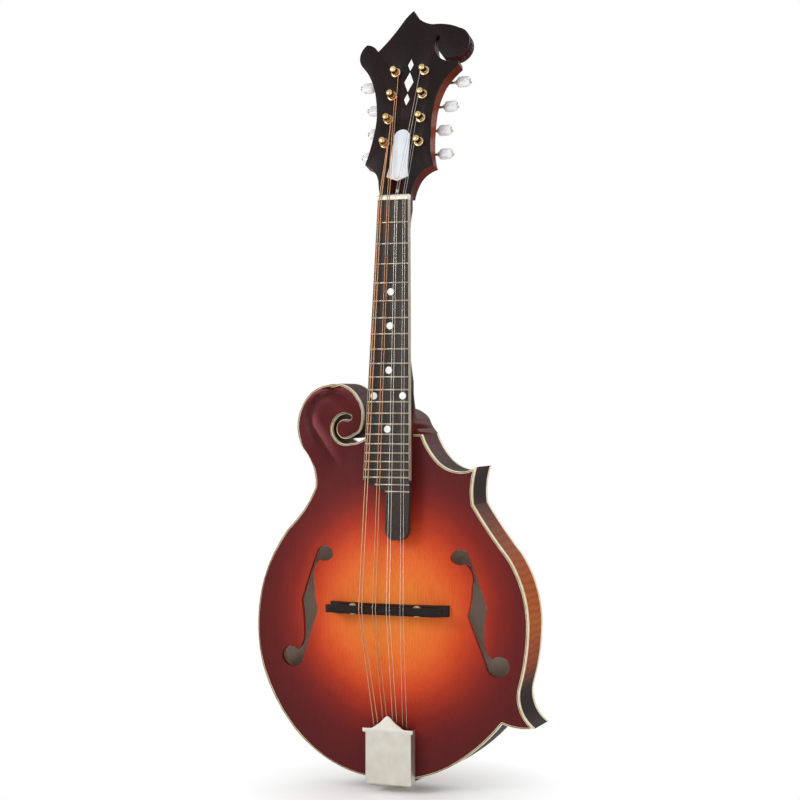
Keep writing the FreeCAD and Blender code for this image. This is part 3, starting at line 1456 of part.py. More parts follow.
# The cover is a shallow tray with bevelled edges and an ogee gable at its upper end.
def make_cover():
    cover = new_body("tailpiece_cover", FreeCAD.Placement())
    half, low, length = "sizes.tail_cover_width / 2", "-sizes.tail_cover_lip", "sizes.tail_cover_length"
    tall, wall = "(sizes.tail_cover_height - sizes.tail_cover_clear)", "sizes.tail_sheet"
    block = sketch_on(cover, "XZ_Plane", COVER_LOW)
    draw_polygon(block, [("-" + half, low), (half, low), (half, length), ("-" + half, length)])
    blank = pad(cover, block, tall)
    open_y, open_z = -worth(COVER_LOW), worth(length)

    def outer_edge(edge):
        at_mouth = max(v.Y for v in edge.Vertexes) > open_y - 1e-6 and min(v.Y for v in edge.Vertexes) > open_y - 1e-6
        at_top = min(v.Z for v in edge.Vertexes) > open_z - 1e-6
        return not (at_mouth or at_top)

    break_edges(cover, "Chamfer", blank, outer_edge, "Size", "sizes.tail_cover_bevel")
    tray = sketch_on(cover, "XZ_Plane", COVER_LOW)
    side, floor, past = "(%s - %s)" % (half, wall), "%s + %s" % (low, wall), length + " + sizes.overrun"
    draw_polygon(tray, [("-" + side, floor), (side, floor), (side, past), ("-" + side, past)])
    pocket(cover, tray, "%s - %s" % (tall, wall), True)
    gable = sketch_on(cover, "XZ_Plane", "%s + %s - %s" % (COVER_LOW, tall, wall))
    draw_outline(gable, gable_wire())
    pad(cover, gable, wall)


def gable_wire():
    half, curve = size("tail_cover_width") / 2, size("tail_cover_bevel")
    length, apex = size("tail_cover_length"), size("tail_cover_apex")
    ear, neck = half * 1.1, half - curve * 1.2
    z_ear, z_top = length - curve, length + curve * 0.9
    edges = []
    for side in (-1, 1):
        waist, tip = V(side * neck, 0, z_ear - curve), V(side * ear, 0, z_ear)
        high, step = V(side * ear, 0, z_top), V(side * half * 0.8, 0, z_top)
        knee, peak = V(side * half * 0.42, 0, z_top + (apex - z_top) * 0.35), V(0, 0, apex)
        edges += arcs([waist, tip], V(side, 0, 0), V(0, 0, 1)) + [line(tip, high), line(high, step)]
        edges += arcs([step, knee, peak], V(-side, 0, 0), V(-side * 2, 0, 1).normalize())
    edges.append(line(V(-neck, 0, z_ear - curve), V(neck, 0, z_ear - curve)))
    return wire_of(edges)


def make_end_pin():
    pin = new_body("end_pin", FreeCAD.Placement(V(0, 0, -size("tail_sheet")), FreeCAD.Rotation()))
    head, shank = "sizes.end_pin_head_diameter / 2", "sizes.end_pin_shank_diameter / 2"
    top, long = "sizes.end_pin_shank_length + sizes.tail_sheet", "sizes.end_pin_head_length"
    section = sketch_on(pin, "XZ_Plane")
    draw_polygon(section, [
        ("0", top), (shank, top), (shank, "0"), (head, "0"), (head, "-%s * 0.76" % long),
        (head + " * 0.8", "-" + long), ("0", "-" + long),
    ])
    revolve(pin, section, "Z_Axis")


make_tuners()
make_bridge()
make_tailpiece()
make_cover()
make_end_pin()
make_strings()

DOC.recompute()
for item in DOC.Objects:
    if "Invalid" in item.State or "Error" in item.State:
        raise RuntimeError(item.Label + " failed")
    if item.TypeId == "PartDesign::Pocket" and item.Shape.Volume >= item.BaseFeature.Shape.Volume:
        raise RuntimeError(item.Label + " cuts nothing")
for item in PARTS:
    if item.Shape.isNull() or not item.Shape.isValid():
        raise RuntimeError(item.Label + " has no valid shape")
os.makedirs("parts", exist_ok=True)
for item in PARTS:
    item.Shape.exportStep("parts/" + item.Label + ".step")
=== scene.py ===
import json
import math

import bmesh
import bpy
from mathutils import Matrix, Vector
from mathutils.kdtree import KDTree


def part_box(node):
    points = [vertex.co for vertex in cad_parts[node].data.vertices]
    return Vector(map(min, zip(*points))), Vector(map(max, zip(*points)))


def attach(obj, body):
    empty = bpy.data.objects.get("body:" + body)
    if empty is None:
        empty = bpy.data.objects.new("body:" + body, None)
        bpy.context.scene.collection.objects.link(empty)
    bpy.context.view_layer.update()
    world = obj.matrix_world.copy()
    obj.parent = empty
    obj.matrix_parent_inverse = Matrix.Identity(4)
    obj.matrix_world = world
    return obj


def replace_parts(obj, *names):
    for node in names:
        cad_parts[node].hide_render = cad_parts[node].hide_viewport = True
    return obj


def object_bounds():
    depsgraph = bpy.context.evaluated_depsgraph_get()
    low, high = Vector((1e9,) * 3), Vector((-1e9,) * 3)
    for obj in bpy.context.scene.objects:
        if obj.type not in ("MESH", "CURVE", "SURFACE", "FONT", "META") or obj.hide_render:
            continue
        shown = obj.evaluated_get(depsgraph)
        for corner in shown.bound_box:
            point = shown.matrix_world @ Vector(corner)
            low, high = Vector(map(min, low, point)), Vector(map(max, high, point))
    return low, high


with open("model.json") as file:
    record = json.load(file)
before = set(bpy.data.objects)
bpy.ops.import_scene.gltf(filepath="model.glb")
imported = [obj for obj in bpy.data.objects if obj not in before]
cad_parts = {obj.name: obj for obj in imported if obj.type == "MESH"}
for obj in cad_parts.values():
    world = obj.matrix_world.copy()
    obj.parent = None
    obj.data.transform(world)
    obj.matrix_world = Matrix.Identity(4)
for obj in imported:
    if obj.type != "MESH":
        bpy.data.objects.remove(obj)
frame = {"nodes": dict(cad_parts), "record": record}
size_at_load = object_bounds()
nodes = frame["nodes"]
record = frame["record"]
hinges = {joint["child"]: joint for joint in record["behaviour"]["joints"]}
body_of = {node: body for body, held in record["behaviour"]["bodies"].items() for node in held}
slot_of = {part["node"]: part["material_slot"] for part in record["subparts"]}

MM = 0.001
SIDES = ("bass", "treble")
TUNERS = ["%s_%d" % (side, number) for side in SIDES for number in (1, 2, 3, 4)]
X_WAY, Z_WAY = Vector((1, 0, 0)), Vector((0, 0, 1))


# ---------------- materials

# From the middle of the top outwards: orange, red, burgundy.
TOP_STOPS = ((0.0, "#EC8A38"), (0.22, "#E87E32"), (0.4, "#E0692C"), (0.52, "#CB4A22"),
             (0.62, "#A8331D"), (0.74, "#7E231C"), (0.86, "#621B1B"), (1.0, "#56191B"))
TOP_MIDDLE, TOP_REACH = (0, 0, 0.148), (0.14, 0, 0.14)
# From the middle of the back outwards: amber, red brown, burgundy.
BACK_STOPS = ((0.0, "#D98A3C"), (0.35, "#C96C28"), (0.55, "#A03E1C"), (0.75, "#6A1F1A"),
              (1.0, "#4A1718"))
BACK_MIDDLE, BACK_REACH = (0, 0, 0.152), (0.15, 0, 0.15)
# Up the sides: tail, lower point, amber waist, upper point, shoulder.
RIM_STOPS = ((0.0, "#3A1613"), (0.1, "#240D0D"), (0.24, "#1E0B0B"), (0.31, "#8F3E0E"),
             (0.41, "#B15B12"), (0.52, "#A24C0E"), (0.6, "#742E0C"), (0.66, "#220C0D"),
             (0.7, "#1C0A0B"), (0.76, "#4E1D1B"), (1.0, "#3E1817"))
RIM_FOOT, RIM_REACH = (0, 0, 0), (0, 0, 0.4)
# Up the neck: burgundy heel, near black shaft, red-brown peghead sides, dark top.
NECK_STOPS = ((0.0, "#5A201C"), (0.455, "#5A201C"), (0.47, "#431816"), (0.485, "#221010"),
              (0.7, "#1E0D0D"), (0.76, "#5A2016"), (0.82, "#96401F"), (0.88, "#7E321B"),
              (0.92, "#3A1512"), (1.0, "#1E0E0E"))
NECK_REACH = 0.7
# The hollow of the scroll's cove is painted darker as painted shade, and the ridge beside it paler as a
# painted highlight.
HOLLOW_PAINTED_SHADE_TONE, CREST_PAINTED_HIGHLIGHT_TONE, COVE_PAINTED_LIGHT_SHARE = "#3C1012", "#9A5458", 0.75
# How much the edge of a spray and of a stain drifts.
SPRAY_DRIFT, STAIN_DRIFT = 0.08, 0.03
# The lean of a face, towards the inside of the body, over which lacquer gives way to bare wood.
BARE_FROM, BARE_TO = 0.3, 0.6
# The distance between a wave texture's bands at a scale of one.
WAVE_TURN = 2 * math.pi / 20


def colour(text):
    """A colour written as #RRGGBB on the screen, as the linear values that a shader takes."""
    channels = [int(text[i:i + 2], 16) / 255 for i in (1, 3, 5)]
    return [c / 12.92 if c <= 0.04045 else ((c + 0.055) / 1.055) ** 2.4 for c in channels] + [1]


def add(tree, kind, inputs=None, stops=(), **settings):
    """A node with its settings, its colour stops, and its inputs linked or set."""
    node = tree.nodes.new(kind)
    for name, value in settings.items():
        setattr(node, name, value)
    if stops:
        ramp = node.color_ramp
        while len(ramp.elements) < len(stops):
            ramp.elements.new(1)
        for element, (place, text) in zip(ramp.elements, stops):
            element.position = place
            element.color = colour(text)
    for name, value in (inputs or {}).items():
        if isinstance(value, bpy.types.NodeSocket):
            tree.links.new(value, node.inputs[name])
        else:
            node.inputs[name].default_value = value
    return node


def material(name, **inputs):
    """A new material, its tree, its shader, and the place on the object that its patterns read."""
    new = bpy.data.materials.new(name)
    new.use_nodes = True
    tree = new.node_tree
    shader = tree.nodes["Principled BSDF"]
    for key, value in inputs.items():
        socket = key.replace("_", " ").title().replace("Ior", "IOR")
        shader.inputs[socket].default_value = value
    return new, tree, shader, add(tree, "ShaderNodeTexCoord").outputs["Object"]


def dress(tree, shader, tone, field, rough, height, depth):
    """Gives the shader a tone, a roughness between two values by a field, and a relief."""
    spread = add(tree, "ShaderNodeMapRange", {"Value": field, "To Min": rough[0], "To Max": rough[1]})
    relief = add(tree, "ShaderNodeBump", {"Height": height, "Distance": depth})
    tree.links.new(tone, shader.inputs["Base Color"])
    tree.links.new(spread.outputs[0], shader.inputs["Roughness"])
    tree.links.new(relief.outputs[0], shader.inputs["Normal"])


def marks(tree, place, size, detail=3.0, stretch=(1, 1, 1)):
    """Cloudy marks of this size in metres, drawn out by the stretch."""
    drawn = add(tree, "ShaderNodeMapping", {"Vector": place, "Scale": [1 / (size * s) for s in stretch]})
    return add(tree, "ShaderNodeTexNoise", {"Vector": drawn.outputs[0], "Scale": 1.0,
                                            "Detail": detail}).outputs["Fac"]


def layered(tree, under, *covers):
    """A tone seen through clear tones that lie over it."""
    for cover in covers:
        under = add(tree, "ShaderNodeMix", {0: 1.0, 6: under, 7: cover}, data_type="RGBA",
                    blend_type="MULTIPLY").outputs[2]
    return under


def sunburst(name, stops, middle, reach, figure, inwards, gloss):
    """Figured wood under a spray whose stops run outwards from the middle, with the wood left bare
    on faces that look inwards, to the back with one and to the front with minus one."""
    period, direction, wobble, flame = figure
    new, tree, shader, place = material(name, specular_ior_level=gloss)
    scaled = add(tree, "ShaderNodeMapping", {
        "Vector": place, "Scale": [1 / r if r else 0 for r in reach],
        "Location": [-m / r if r else 0 for m, r in zip(middle, reach)]})
    away = add(tree, "ShaderNodeVectorMath", {0: scaled.outputs[0]}, operation="LENGTH").outputs["Value"]
    haze = marks(tree, place, 55 * MM, 2.0)
    drift = add(tree, "ShaderNodeMath", {0: haze, 1: SPRAY_DRIFT, 2: away},
                operation="MULTIPLY_ADD").outputs[0]
    spray = add(tree, "ShaderNodeValToRGB", {"Fac": drift}, stops=stops).outputs[0]
    # The scroll's cove is mixed towards a dark tone in its hollow and a pale tone on its ridge: painted
    # shade and a painted highlight.
    carving = add(tree, "ShaderNodeAttribute", attribute_name="carving").outputs["Fac"]
    for share, tone in ((COVE_PAINTED_LIGHT_SHARE, HOLLOW_PAINTED_SHADE_TONE), (-COVE_PAINTED_LIGHT_SHARE, CREST_PAINTED_HIGHLIGHT_TONE)):
        worked = add(tree, "ShaderNodeMath", {0: carving, 1: share}, operation="MULTIPLY",
                     use_clamp=True).outputs[0]
        spray = add(tree, "ShaderNodeMix", {0: worked, 6: spray, 7: colour(tone)},
                    data_type="RGBA").outputs[2]
    bands = add(tree, "ShaderNodeTexWave", {
        "Vector": place, "Scale": WAVE_TURN / period, "Distortion": wobble, "Detail": 2.0,
        "Detail Scale": 1.4}, bands_direction=direction).outputs["Fac"]
    shade = add(tree, "ShaderNodeValToRGB", {"Fac": bands}, stops=((0.1, flame), (0.8, "#FFFFFF")))
    fibre = marks(tree, place, 0.5 * MM, 4.0, (1, 1, 60))
    thread = add(tree, "ShaderNodeValToRGB", {"Fac": fibre}, stops=((0.3, "#EDE5E0"), (0.6, "#FFFFFF")))
    tone = layered(tree, spray, shade.outputs[0], thread.outputs[0])
    if inwards:
        # The bare inside faces are painted paler than the wood, as painted light for the dim inside of the
        # body.
        bare = add(tree, "ShaderNodeValToRGB", {"Fac": fibre}, stops=((0.3, "#F8E2D0"), (0.7, "#FFF2E6")))
        normal = add(tree, "ShaderNodeNewGeometry").outputs["Normal"]
        lean = add(tree, "ShaderNodeVectorMath", {0: normal, 1: (0, inwards, 0)}, operation="DOT_PRODUCT")
        unsprayed = add(tree, "ShaderNodeMapRange", {"Value": lean.outputs["Value"], "From Min": BARE_FROM,
                                                     "From Max": BARE_TO}).outputs[0]
        tone = add(tree, "ShaderNodeMix", {0: unsprayed, 6: tone, 7: bare.outputs[0]},
                   data_type="RGBA").outputs[2]
    dress(tree, shader, tone, fibre, (0.42, 0.56), fibre, 0.012 * MM)
    return new


def grained(name, stops, across, length, depth, rough, **inputs):
    """Straight-grained wood: pores of this width and length up the neck, the stops from pore to land."""
    new, tree, shader, place = material(name, **inputs)
    pores = marks(tree, place, across, 4.0, (1, 1, length / across))
    cloud = marks(tree, place, 25 * MM, 2.0, (1, 1, 3))
    both = add(tree, "ShaderNodeMath", {0: cloud, 1: 0.35, 2: pores}, operation="MULTIPLY_ADD").outputs[0]
    tone = add(tree, "ShaderNodeValToRGB", {"Fac": both}, stops=stops).outputs[0]
    dress(tree, shader, tone, pores, rough, pores, depth)
    return new


def stained_neck():
    """Maple, stained and lacquered: the stain's tone runs up the neck, over fine pores."""
    new, tree, shader, place = material("maple_neck_stained_satin", specular_ior_level=0.05)
    height = add(tree, "ShaderNodeSeparateXYZ", {0: place}).outputs[2]
    haze = marks(tree, place, 40 * MM, 2.0)
    share = add(tree, "ShaderNodeMath", {0: height, 1: 1 / NECK_REACH}, operation="MULTIPLY").outputs[0]
    drift = add(tree, "ShaderNodeMath", {0: haze, 1: STAIN_DRIFT, 2: share},
                operation="MULTIPLY_ADD").outputs[0]
    stain = add(tree, "ShaderNodeValToRGB", {"Fac": drift}, stops=NECK_STOPS).outputs[0]
    pores = marks(tree, place, 1.2 * MM, 4.0, (1, 1, 50))
    thread = add(tree, "ShaderNodeValToRGB", {"Fac": pores}, stops=((0.3, "#C8B8B0"), (0.65, "#FFFFFF")))
    dress(tree, shader, layered(tree, stain, thread.outputs[0]), pores, (0.42, 0.55), pores, 0.01 * MM)
    return new


def cast(name, stops, size, rough, depth, **inputs):
    """Plastic, bone or shell: clouds of the stops' tones, of this size, under a fine polish."""
    new, tree, shader, place = material(name, **inputs)
    cloud = marks(tree, place, size, 3.0)
    fine = marks(tree, place, 0.35 * MM, 2.0)
    tone = add(tree, "ShaderNodeValToRGB", {"Fac": cloud}, stops=stops).outputs[0]
    dress(tree, shader, tone, fine, rough, fine, depth)
    return new


def metal(name, stops, rough, size, depth, stretch=(1, 1, 1)):
    """Metal whose polish varies in marks of this size, drawn out where it is brushed or drawn."""
    new, tree, shader, place = material(name, metallic=1.0)
    scratches = marks(tree, place, size, 3.0, stretch)
    cloud = marks(tree, place, 9 * MM, 2.0)
    tone = add(tree, "ShaderNodeValToRGB", {"Fac": cloud}, stops=stops).outputs[0]
    dress(tree, shader, tone, scratches, rough, scratches, depth)
    return new


def wrapped_wire():
    """Bronze wound over steel: ribs run round the string. The real wrap has about five turns to a
    millimetre; it is drawn with two and a half, so that it shows."""
    new, tree, shader, place = material("bronze_wrapped_string", metallic=1.0)
    along = add(tree, "ShaderNodeUVMap", uv_map="run").outputs[0]
    ribs = add(tree, "ShaderNodeTexWave", {
        "Vector": along, "Scale": WAVE_TURN / (0.4 * MM), "Distortion": 0.0, "Detail": 2.0,
        "Detail Scale": 1.4}, bands_direction="X").outputs["Fac"]
    # The grooves between turns are painted darker and the crowns paler: painted shade and a painted
    # highlight over the ribs' bump.
    tone = add(tree, "ShaderNodeValToRGB", {"Fac": ribs}, stops=((0.1, "#845638"), (0.6, "#D6A680")))
    dress(tree, shader, tone.outputs[0], marks(tree, place, 4 * MM), (0.28, 0.42), ribs, 0.05 * MM)
    return new


def plied_binding(name, layers):
    """Cream celluloid with black plies let in, scraped level and lacquered; the layers run inwards."""
    new, tree, shader, place = material(name, specular_ior_level=0.2)
    across = add(tree, "ShaderNodeUVMap", uv_map="across").outputs[0]
    share = add(tree, "ShaderNodeSeparateXYZ", {0: across}).outputs[0]
    stack = add(tree, "ShaderNodeValToRGB", {"Fac": share}, stops=layers).outputs[0]
    cloud = marks(tree, place, 7 * MM)
    age = add(tree, "ShaderNodeValToRGB", {"Fac": cloud}, stops=((0.3, "#E6DAC0"), (0.7, "#FFFFFF")))
    dress(tree, shader, layered(tree, stack, age.outputs[0]), cloud, (0.32, 0.45), cloud, 0.02 * MM)
    return new


slots = {
    # Spruce, carved and sprayed: its fine upright grain shows through satin lacquer.
    "top_wood": sunburst("spruce_carved_sunburst_satin", TOP_STOPS, TOP_MIDDLE, TOP_REACH,
                         (1.4 * MM, "X", 1.2, "#F7F0EB"), 1, 0.13),
    # Maple, carved and sprayed: wide flames cross it, brightest where the spray is thin.
    "back_wood": sunburst("maple_carved_sunburst_satin", BACK_STOPS, BACK_MIDDLE, BACK_REACH,
                          (8 * MM, "Z", 5.0, "#B88E70"), -1, 0.2),
    # Maple, bent and sprayed: narrow flames, amber at the waist and near black at the points.
    "rim_wood": sunburst("maple_bent_sides_sunburst", RIM_STOPS, RIM_FOOT, RIM_REACH,
                         (6 * MM, "Z", 4.0, "#E9D6C6"), 0, 0.04),
    # Celluloid, scraped level: cream with faint clouds and a soft, waxy shine.
    "binding": cast("celluloid_board_binding_scraped", ((0.3, "#D8CBB2"), (0.7, "#E9DEC8")), 8 * MM,
                    (0.35, 0.5), 0.01 * MM, specular_ior_level=0.35),
    # Spruce, sanded and left bare: pale, dry and matt, painted paler than the wood as painted light for the
    # dim inside of the body.
    "inner_wood": grained("spruce_bare_sanded", ((0.4, "#DDBE98"), (0.8, "#F3DCBC")), 0.8 * MM,
                          40 * MM, 0.05 * MM, (0.7, 0.85)),
    # Ebony, planed and oiled: nearly black, with brown streaks and open pores along the board.
    "ebony": grained("ebony_board_oiled", ((0.35, "#171213"), (0.6, "#272021"), (0.85, "#40352F")),
                     0.4 * MM, 14 * MM, 0.04 * MM, (0.4, 0.6), specular_ior_level=0.22),
    # Nickel silver wire, dressed and worn by the strings: grey with a blurred shine.
    "fret_metal": metal("nickel_silver_fret_wire_worn", ((0.3, "#8E8474"), (0.7, "#B0A694")),
                        (0.3, 0.45), 0.6 * MM, 0.01 * MM),
    # Mother of pearl, ground flush: white clouds from blue to rose under a clear polish.
    "pearl": cast("mother_of_pearl_ground_flush", ((0.25, "#D5DCE0"), (0.5, "#F3F3EC"), (0.75, "#E4DDE0")),
                  1.6 * MM, (0.12, 0.25), 0.005 * MM),
    # Ebony veneer, lacquered: a quiet black face with red-brown streaks through its grain, a painted
    # reflection.
    "peghead_face": grained("ebony_veneer_lacquered",
                            ((0.4, "#120D0D"), (0.75, "#1A1010"), (1.0, "#4A1F18")), 0.6 * MM,
                            30 * MM, 0.006 * MM, (0.3, 0.42), specular_ior_level=0.1),
    # Maple, stained: burgundy at the heel, near black up the neck, red brown on the peghead's sides.
    "neck_wood": stained_neck(),
    # Steel, drawn: fine lines along the rod break its shine.
    "rod_steel": metal("steel_rod_drawn", ((0.3, "#7E7E7C"), (0.7, "#9A9A98")), (0.35, 0.5), 0.3 * MM,
                       0.01 * MM, (1, 1, 30)),
    # White plastic, cut from polished plate: cool and even, with a low gloss.
    "cover_plastic": cast("white_plate_plastic", ((0.3, "#D4D9E2"), (0.7, "#E2E6EB")), 14 * MM,
                          (0.25, 0.38), 0.004 * MM, specular_ior_level=0.4),
    # Bone, filed and polished: warm white with small darker pores.
    "nut_bone": cast("bone_nut_polished", ((0.25, "#D8CCB2"), (0.7, "#F0E8D8")), 1.2 * MM, (0.3, 0.45),
                     0.01 * MM),
    # Nickel plate on stamped parts: warm grey, a mirror that handling has blurred.
    "tuner_metal": metal("nickel_plated_tuner_parts", ((0.3, "#A89C86"), (0.7, "#CFC6B4")), (0.18, 0.32),
                         0.5 * MM, 0.006 * MM),
    # Pearl plastic, moulded: swirls of grey and white under a clear skin.
    "button_pearl": cast("pearl_plastic_button_moulded",
                         ((0.3, "#CFCFD3"), (0.5, "#EDEDEE"), (0.7, "#DCDCE2")), 2.6 * MM,
                         (0.15, 0.28), 0.01 * MM),
    # Ebony, sanded: nearly black and duller than the board, with short pores.
    "bridge_wood": grained("ebony_bridge_sanded", ((0.35, "#100C0D"), (0.65, "#1B1617"), (0.9, "#2A2422")),
                           0.4 * MM, 12 * MM, 0.03 * MM, (0.4, 0.55), specular_ior_level=0.12),
    # Nickel plate on knurled brass: the yellow shows through where fingers turn it.
    "wheel_metal": metal("nickel_plated_brass_wheel", ((0.3, "#A8926A"), (0.7, "#D2C3A2")), (0.2, 0.35),
                         0.4 * MM, 0.008 * MM),
    # Nickel plate, satin brushed along the strings: pale and soft, without mirror images.
    "tail_metal": metal("nickel_plate_satin_brushed", ((0.3, "#C9C4B9"), (0.7, "#D3CFC6")), (0.42, 0.6),
                        0.25 * MM, 0.008 * MM, (1, 1, 25)),
    # Celluloid, turned: honey coloured with a low shine.
    "pin_plastic": cast("celluloid_end_pin_turned", ((0.3, "#C6AC7C"), (0.7, "#DCC69E")), 3 * MM,
                        (0.3, 0.42), 0.01 * MM),
    "wound_metal": wrapped_wire(),
    # Tinned steel wire, drawn: a thin bright line.
    "plain_steel": metal("tinned_steel_plain_string", ((0.3, "#BDB7AC"), (0.7, "#D8D3C8")), (0.2, 0.3),
                         0.8 * MM, 0.004 * MM),
}
# The body's binding: cream outside, a black ply, and a thin cream line within.
plies = plied_binding("celluloid_and_black_plies_scraped", (
    (0.0, "#F0E4C8"), (0.34, "#F0E4C8"), (0.38, "#18100F"), (0.7, "#18100F"), (0.75, "#F0E6CE")))
# The board's binding is greyed all over as painted shade along the board's sides, and a black ply takes the
# inner part of its face.
edge_plies = plied_binding("celluloid_board_edge_painted_shade", (
    (0.0, "#A69E90"), (0.28, "#B9B0A0"), (0.34, "#241C1A")))
# Nickel plate, buffed, with a gold tint that is a painted reflection of warm surroundings: the posts and
# bushings are warmer and brighter than the nickel.
post_plate_painted_warm_reflection = metal("nickel_post_plate_painted_warm_reflection", ((0.3, "#B8925A"), (0.7, "#DCC294")), (0.14, 0.26),
                  0.5 * MM, 0.005 * MM)

for node, slot in slot_of.items():
    mesh = nodes[node].data
    mesh.materials.clear()
    # The string posts take the plate with the painted warm reflection.
    mesh.materials.append(post_plate_painted_warm_reflection if node.startswith("string_post") else slots[slot])


# ---------------- mesh tools

# Corners this near are one corner, or lie on the same line or face.
WELD, SAME_SPOT = 0.001 * MM, 0.01 * MM
# No turned piece lies along this way, so it sets where its first corner lies.
TURNING_START = Vector((0.3, 0.1, 1))


def finished(name, mesh, node, finish=None, slot=None):
    """A piece on its node's body, in the node's slot or another, with the slot's finish or its own."""
    slot = slot or slot_of[node]
    mesh.name = name
    mesh.materials.clear()
    mesh.materials.append(finish or slots[slot])
    piece = bpy.data.objects.new(name, mesh)
    bpy.context.scene.collection.objects.link(piece)
    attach(piece, body_of[node])
    return piece


def stand_in(name, mesh, node, finish=None):
    """A piece that is shown in its node's stead."""
    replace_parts(finished(name, mesh, node, finish), node)


def mesh_of(build, angle=35, outward=True):
    """The build as a mesh, shaded smooth but for edges above the angle. A copy of a node faces
    outwards already."""
    if outward:
        bmesh.ops.recalc_face_normals(build, faces=build.faces)
    mesh = bpy.data.meshes.new("shape")
    build.to_mesh(mesh)
    build.free()
    mesh.shade_smooth()
    mesh.set_sharp_from_angle(angle=math.radians(angle))
    return mesh


def copy_of(node):
    """A node's own surface with its loose triangles joined."""
    build = bmesh.new()
    build.from_mesh(nodes[node].data)
    bmesh.ops.remove_doubles(build, verts=build.verts, dist=WELD)
    return build


def islands(node):
    """The corners of each loose solid of a node."""
    build = copy_of(node)
    left, found = set(build.verts), []
    while left:
        todo = [left.pop()]
        found.append([])
        while todo:
            vert = todo.pop()
            found[-1].append(vert.co.copy())
            near = {edge.other_vert(vert) for edge in vert.link_edges} & left
            left -= near
            todo += near
    build.free()
    return found


def corners(node):
    """The corners of a node."""
    return [vert.co for vert in nodes[node].data.vertices]


def span(points, axis):
    """The least and the greatest reach of some points along an axis."""
    reach = [point.dot(axis) for point in points]
    return min(reach), max(reach)


def seat(origin, out, up):
    """A place whose Z looks outwards and whose Y leans up."""
    z = out.normalized()
    x = up.cross(z).normalized()
    return Matrix.Translation(origin) @ Matrix((x, z.cross(x), z)).transposed().to_4x4()


def join(build, low, high):
    """A band of faces between two rings of as many corners, or between a ring and a pole."""
    count = max(len(low), len(high))
    for i in range(count):
        loop = [low[i % len(low)], low[(i + 1) % len(low)], high[(i + 1) % len(high)], high[i % len(high)]]
        build.faces.new(list(dict.fromkeys(loop)))


def loft(build, rings):
    """A closed solid through rings of points, with flat ends. Gives its rings of corners."""
    made = [[build.verts.new(point) for point in ring] for ring in rings]
    for low, high in zip(made, made[1:]):
        join(build, low, high)
    build.faces.new(made[0])
    build.faces.new(made[-1][::-1])
    return made


def turned(origin, axis, profile, steps=32, notch=0):
    """A piece turned about an axis from radii and heights in millimetres. The profile closes on
    itself unless it ends on the axis, and where it has a third value, every other corner is let in
    by the notch."""
    build = bmesh.new()
    place = seat(origin, axis, TURNING_START)
    rings = []
    for radius, height, *cut in profile:
        count = steps if radius else 1
        rings.append([])
        for step in range(count):
            turn = 2 * math.pi * step / count
            reach = radius * MM - (notch * MM if cut and step % 2 else 0)
            spot = Vector((reach * math.cos(turn), reach * math.sin(turn), height * MM))
            rings[-1].append(build.verts.new(place @ spot))
    if len(rings[0]) > 1:
        rings.append(rings[0])
    for low, high in zip(rings, rings[1:]):
        join(build, low, high)
    return build


def merged(builds):
    """Several builds as one."""
    whole = bmesh.new()
    for build in builds:
        lump = bpy.data.meshes.new("lump")
        build.to_mesh(lump)
        build.free()
        whole.from_mesh(lump)
        bpy.data.meshes.remove(lump)
    return whole


# ---------------- softened edges

# The fingerboard's own frame: its origin on its face at the nut, and the ways out of it and up it.
BOARD_PITCH = math.radians(4.352)
BOARD_ORIGIN = Vector((0, -16.974, 504.826)) * MM
BOARD_BACK = -5.0 * MM
BOARD_HEEL = 261.55 * MM
board_out = Vector((0, -math.cos(BOARD_PITCH), math.sin(BOARD_PITCH)))
board_along = Vector((0, math.sin(BOARD_PITCH), math.cos(BOARD_PITCH)))

TONGUE_MIDDLE = 10.86 * MM
TONGUE_HALF = 10.86 * MM
TONGUE_MARGIN = 0.1 * MM
TONGUE_END = 216.5 * MM
TONGUE_CORNER, TONGUE_ROUND = 6.5 * MM, 10.4 * MM

NUT_HALF, HEEL_HALF = 14.4 * MM, 21.51 * MM
NECK_SLOPE = 0.44
SHAFT_LOW, SHAFT_HIGH, SHAFT_FADE = 350 * MM, 496 * MM, 14 * MM
# Between these levels its edges are cut this short first, in so many rounds.
FINE_LOW, FINE_HIGH, FINE_STEP, FINE_ROUNDS = 290 * MM, 556 * MM, 8 * MM, 3

# Edges above the one angle are worn; faces within the other are one face.
WORN_ANGLE, FLAT_ANGLE = 30, math.radians(0.5)


def rounded_tongue(build):
    """Draws the board's tongue in to a fuller round at its end over the top."""
    for vert in build.verts:
        aside = abs(vert.co.x - TONGUE_MIDDLE)
        if vert.co.z < TONGUE_END and aside < TONGUE_HALF + TONGUE_MARGIN:
            old, new = (max(0, aside - TONGUE_HALF + radius) for radius in (TONGUE_CORNER, TONGUE_ROUND))
            rise = (TONGUE_ROUND - math.sqrt(max(0, TONGUE_ROUND ** 2 - new ** 2))
                    - TONGUE_CORNER + math.sqrt(max(0, TONGUE_CORNER ** 2 - old ** 2)))
            vert.co += board_along * rise


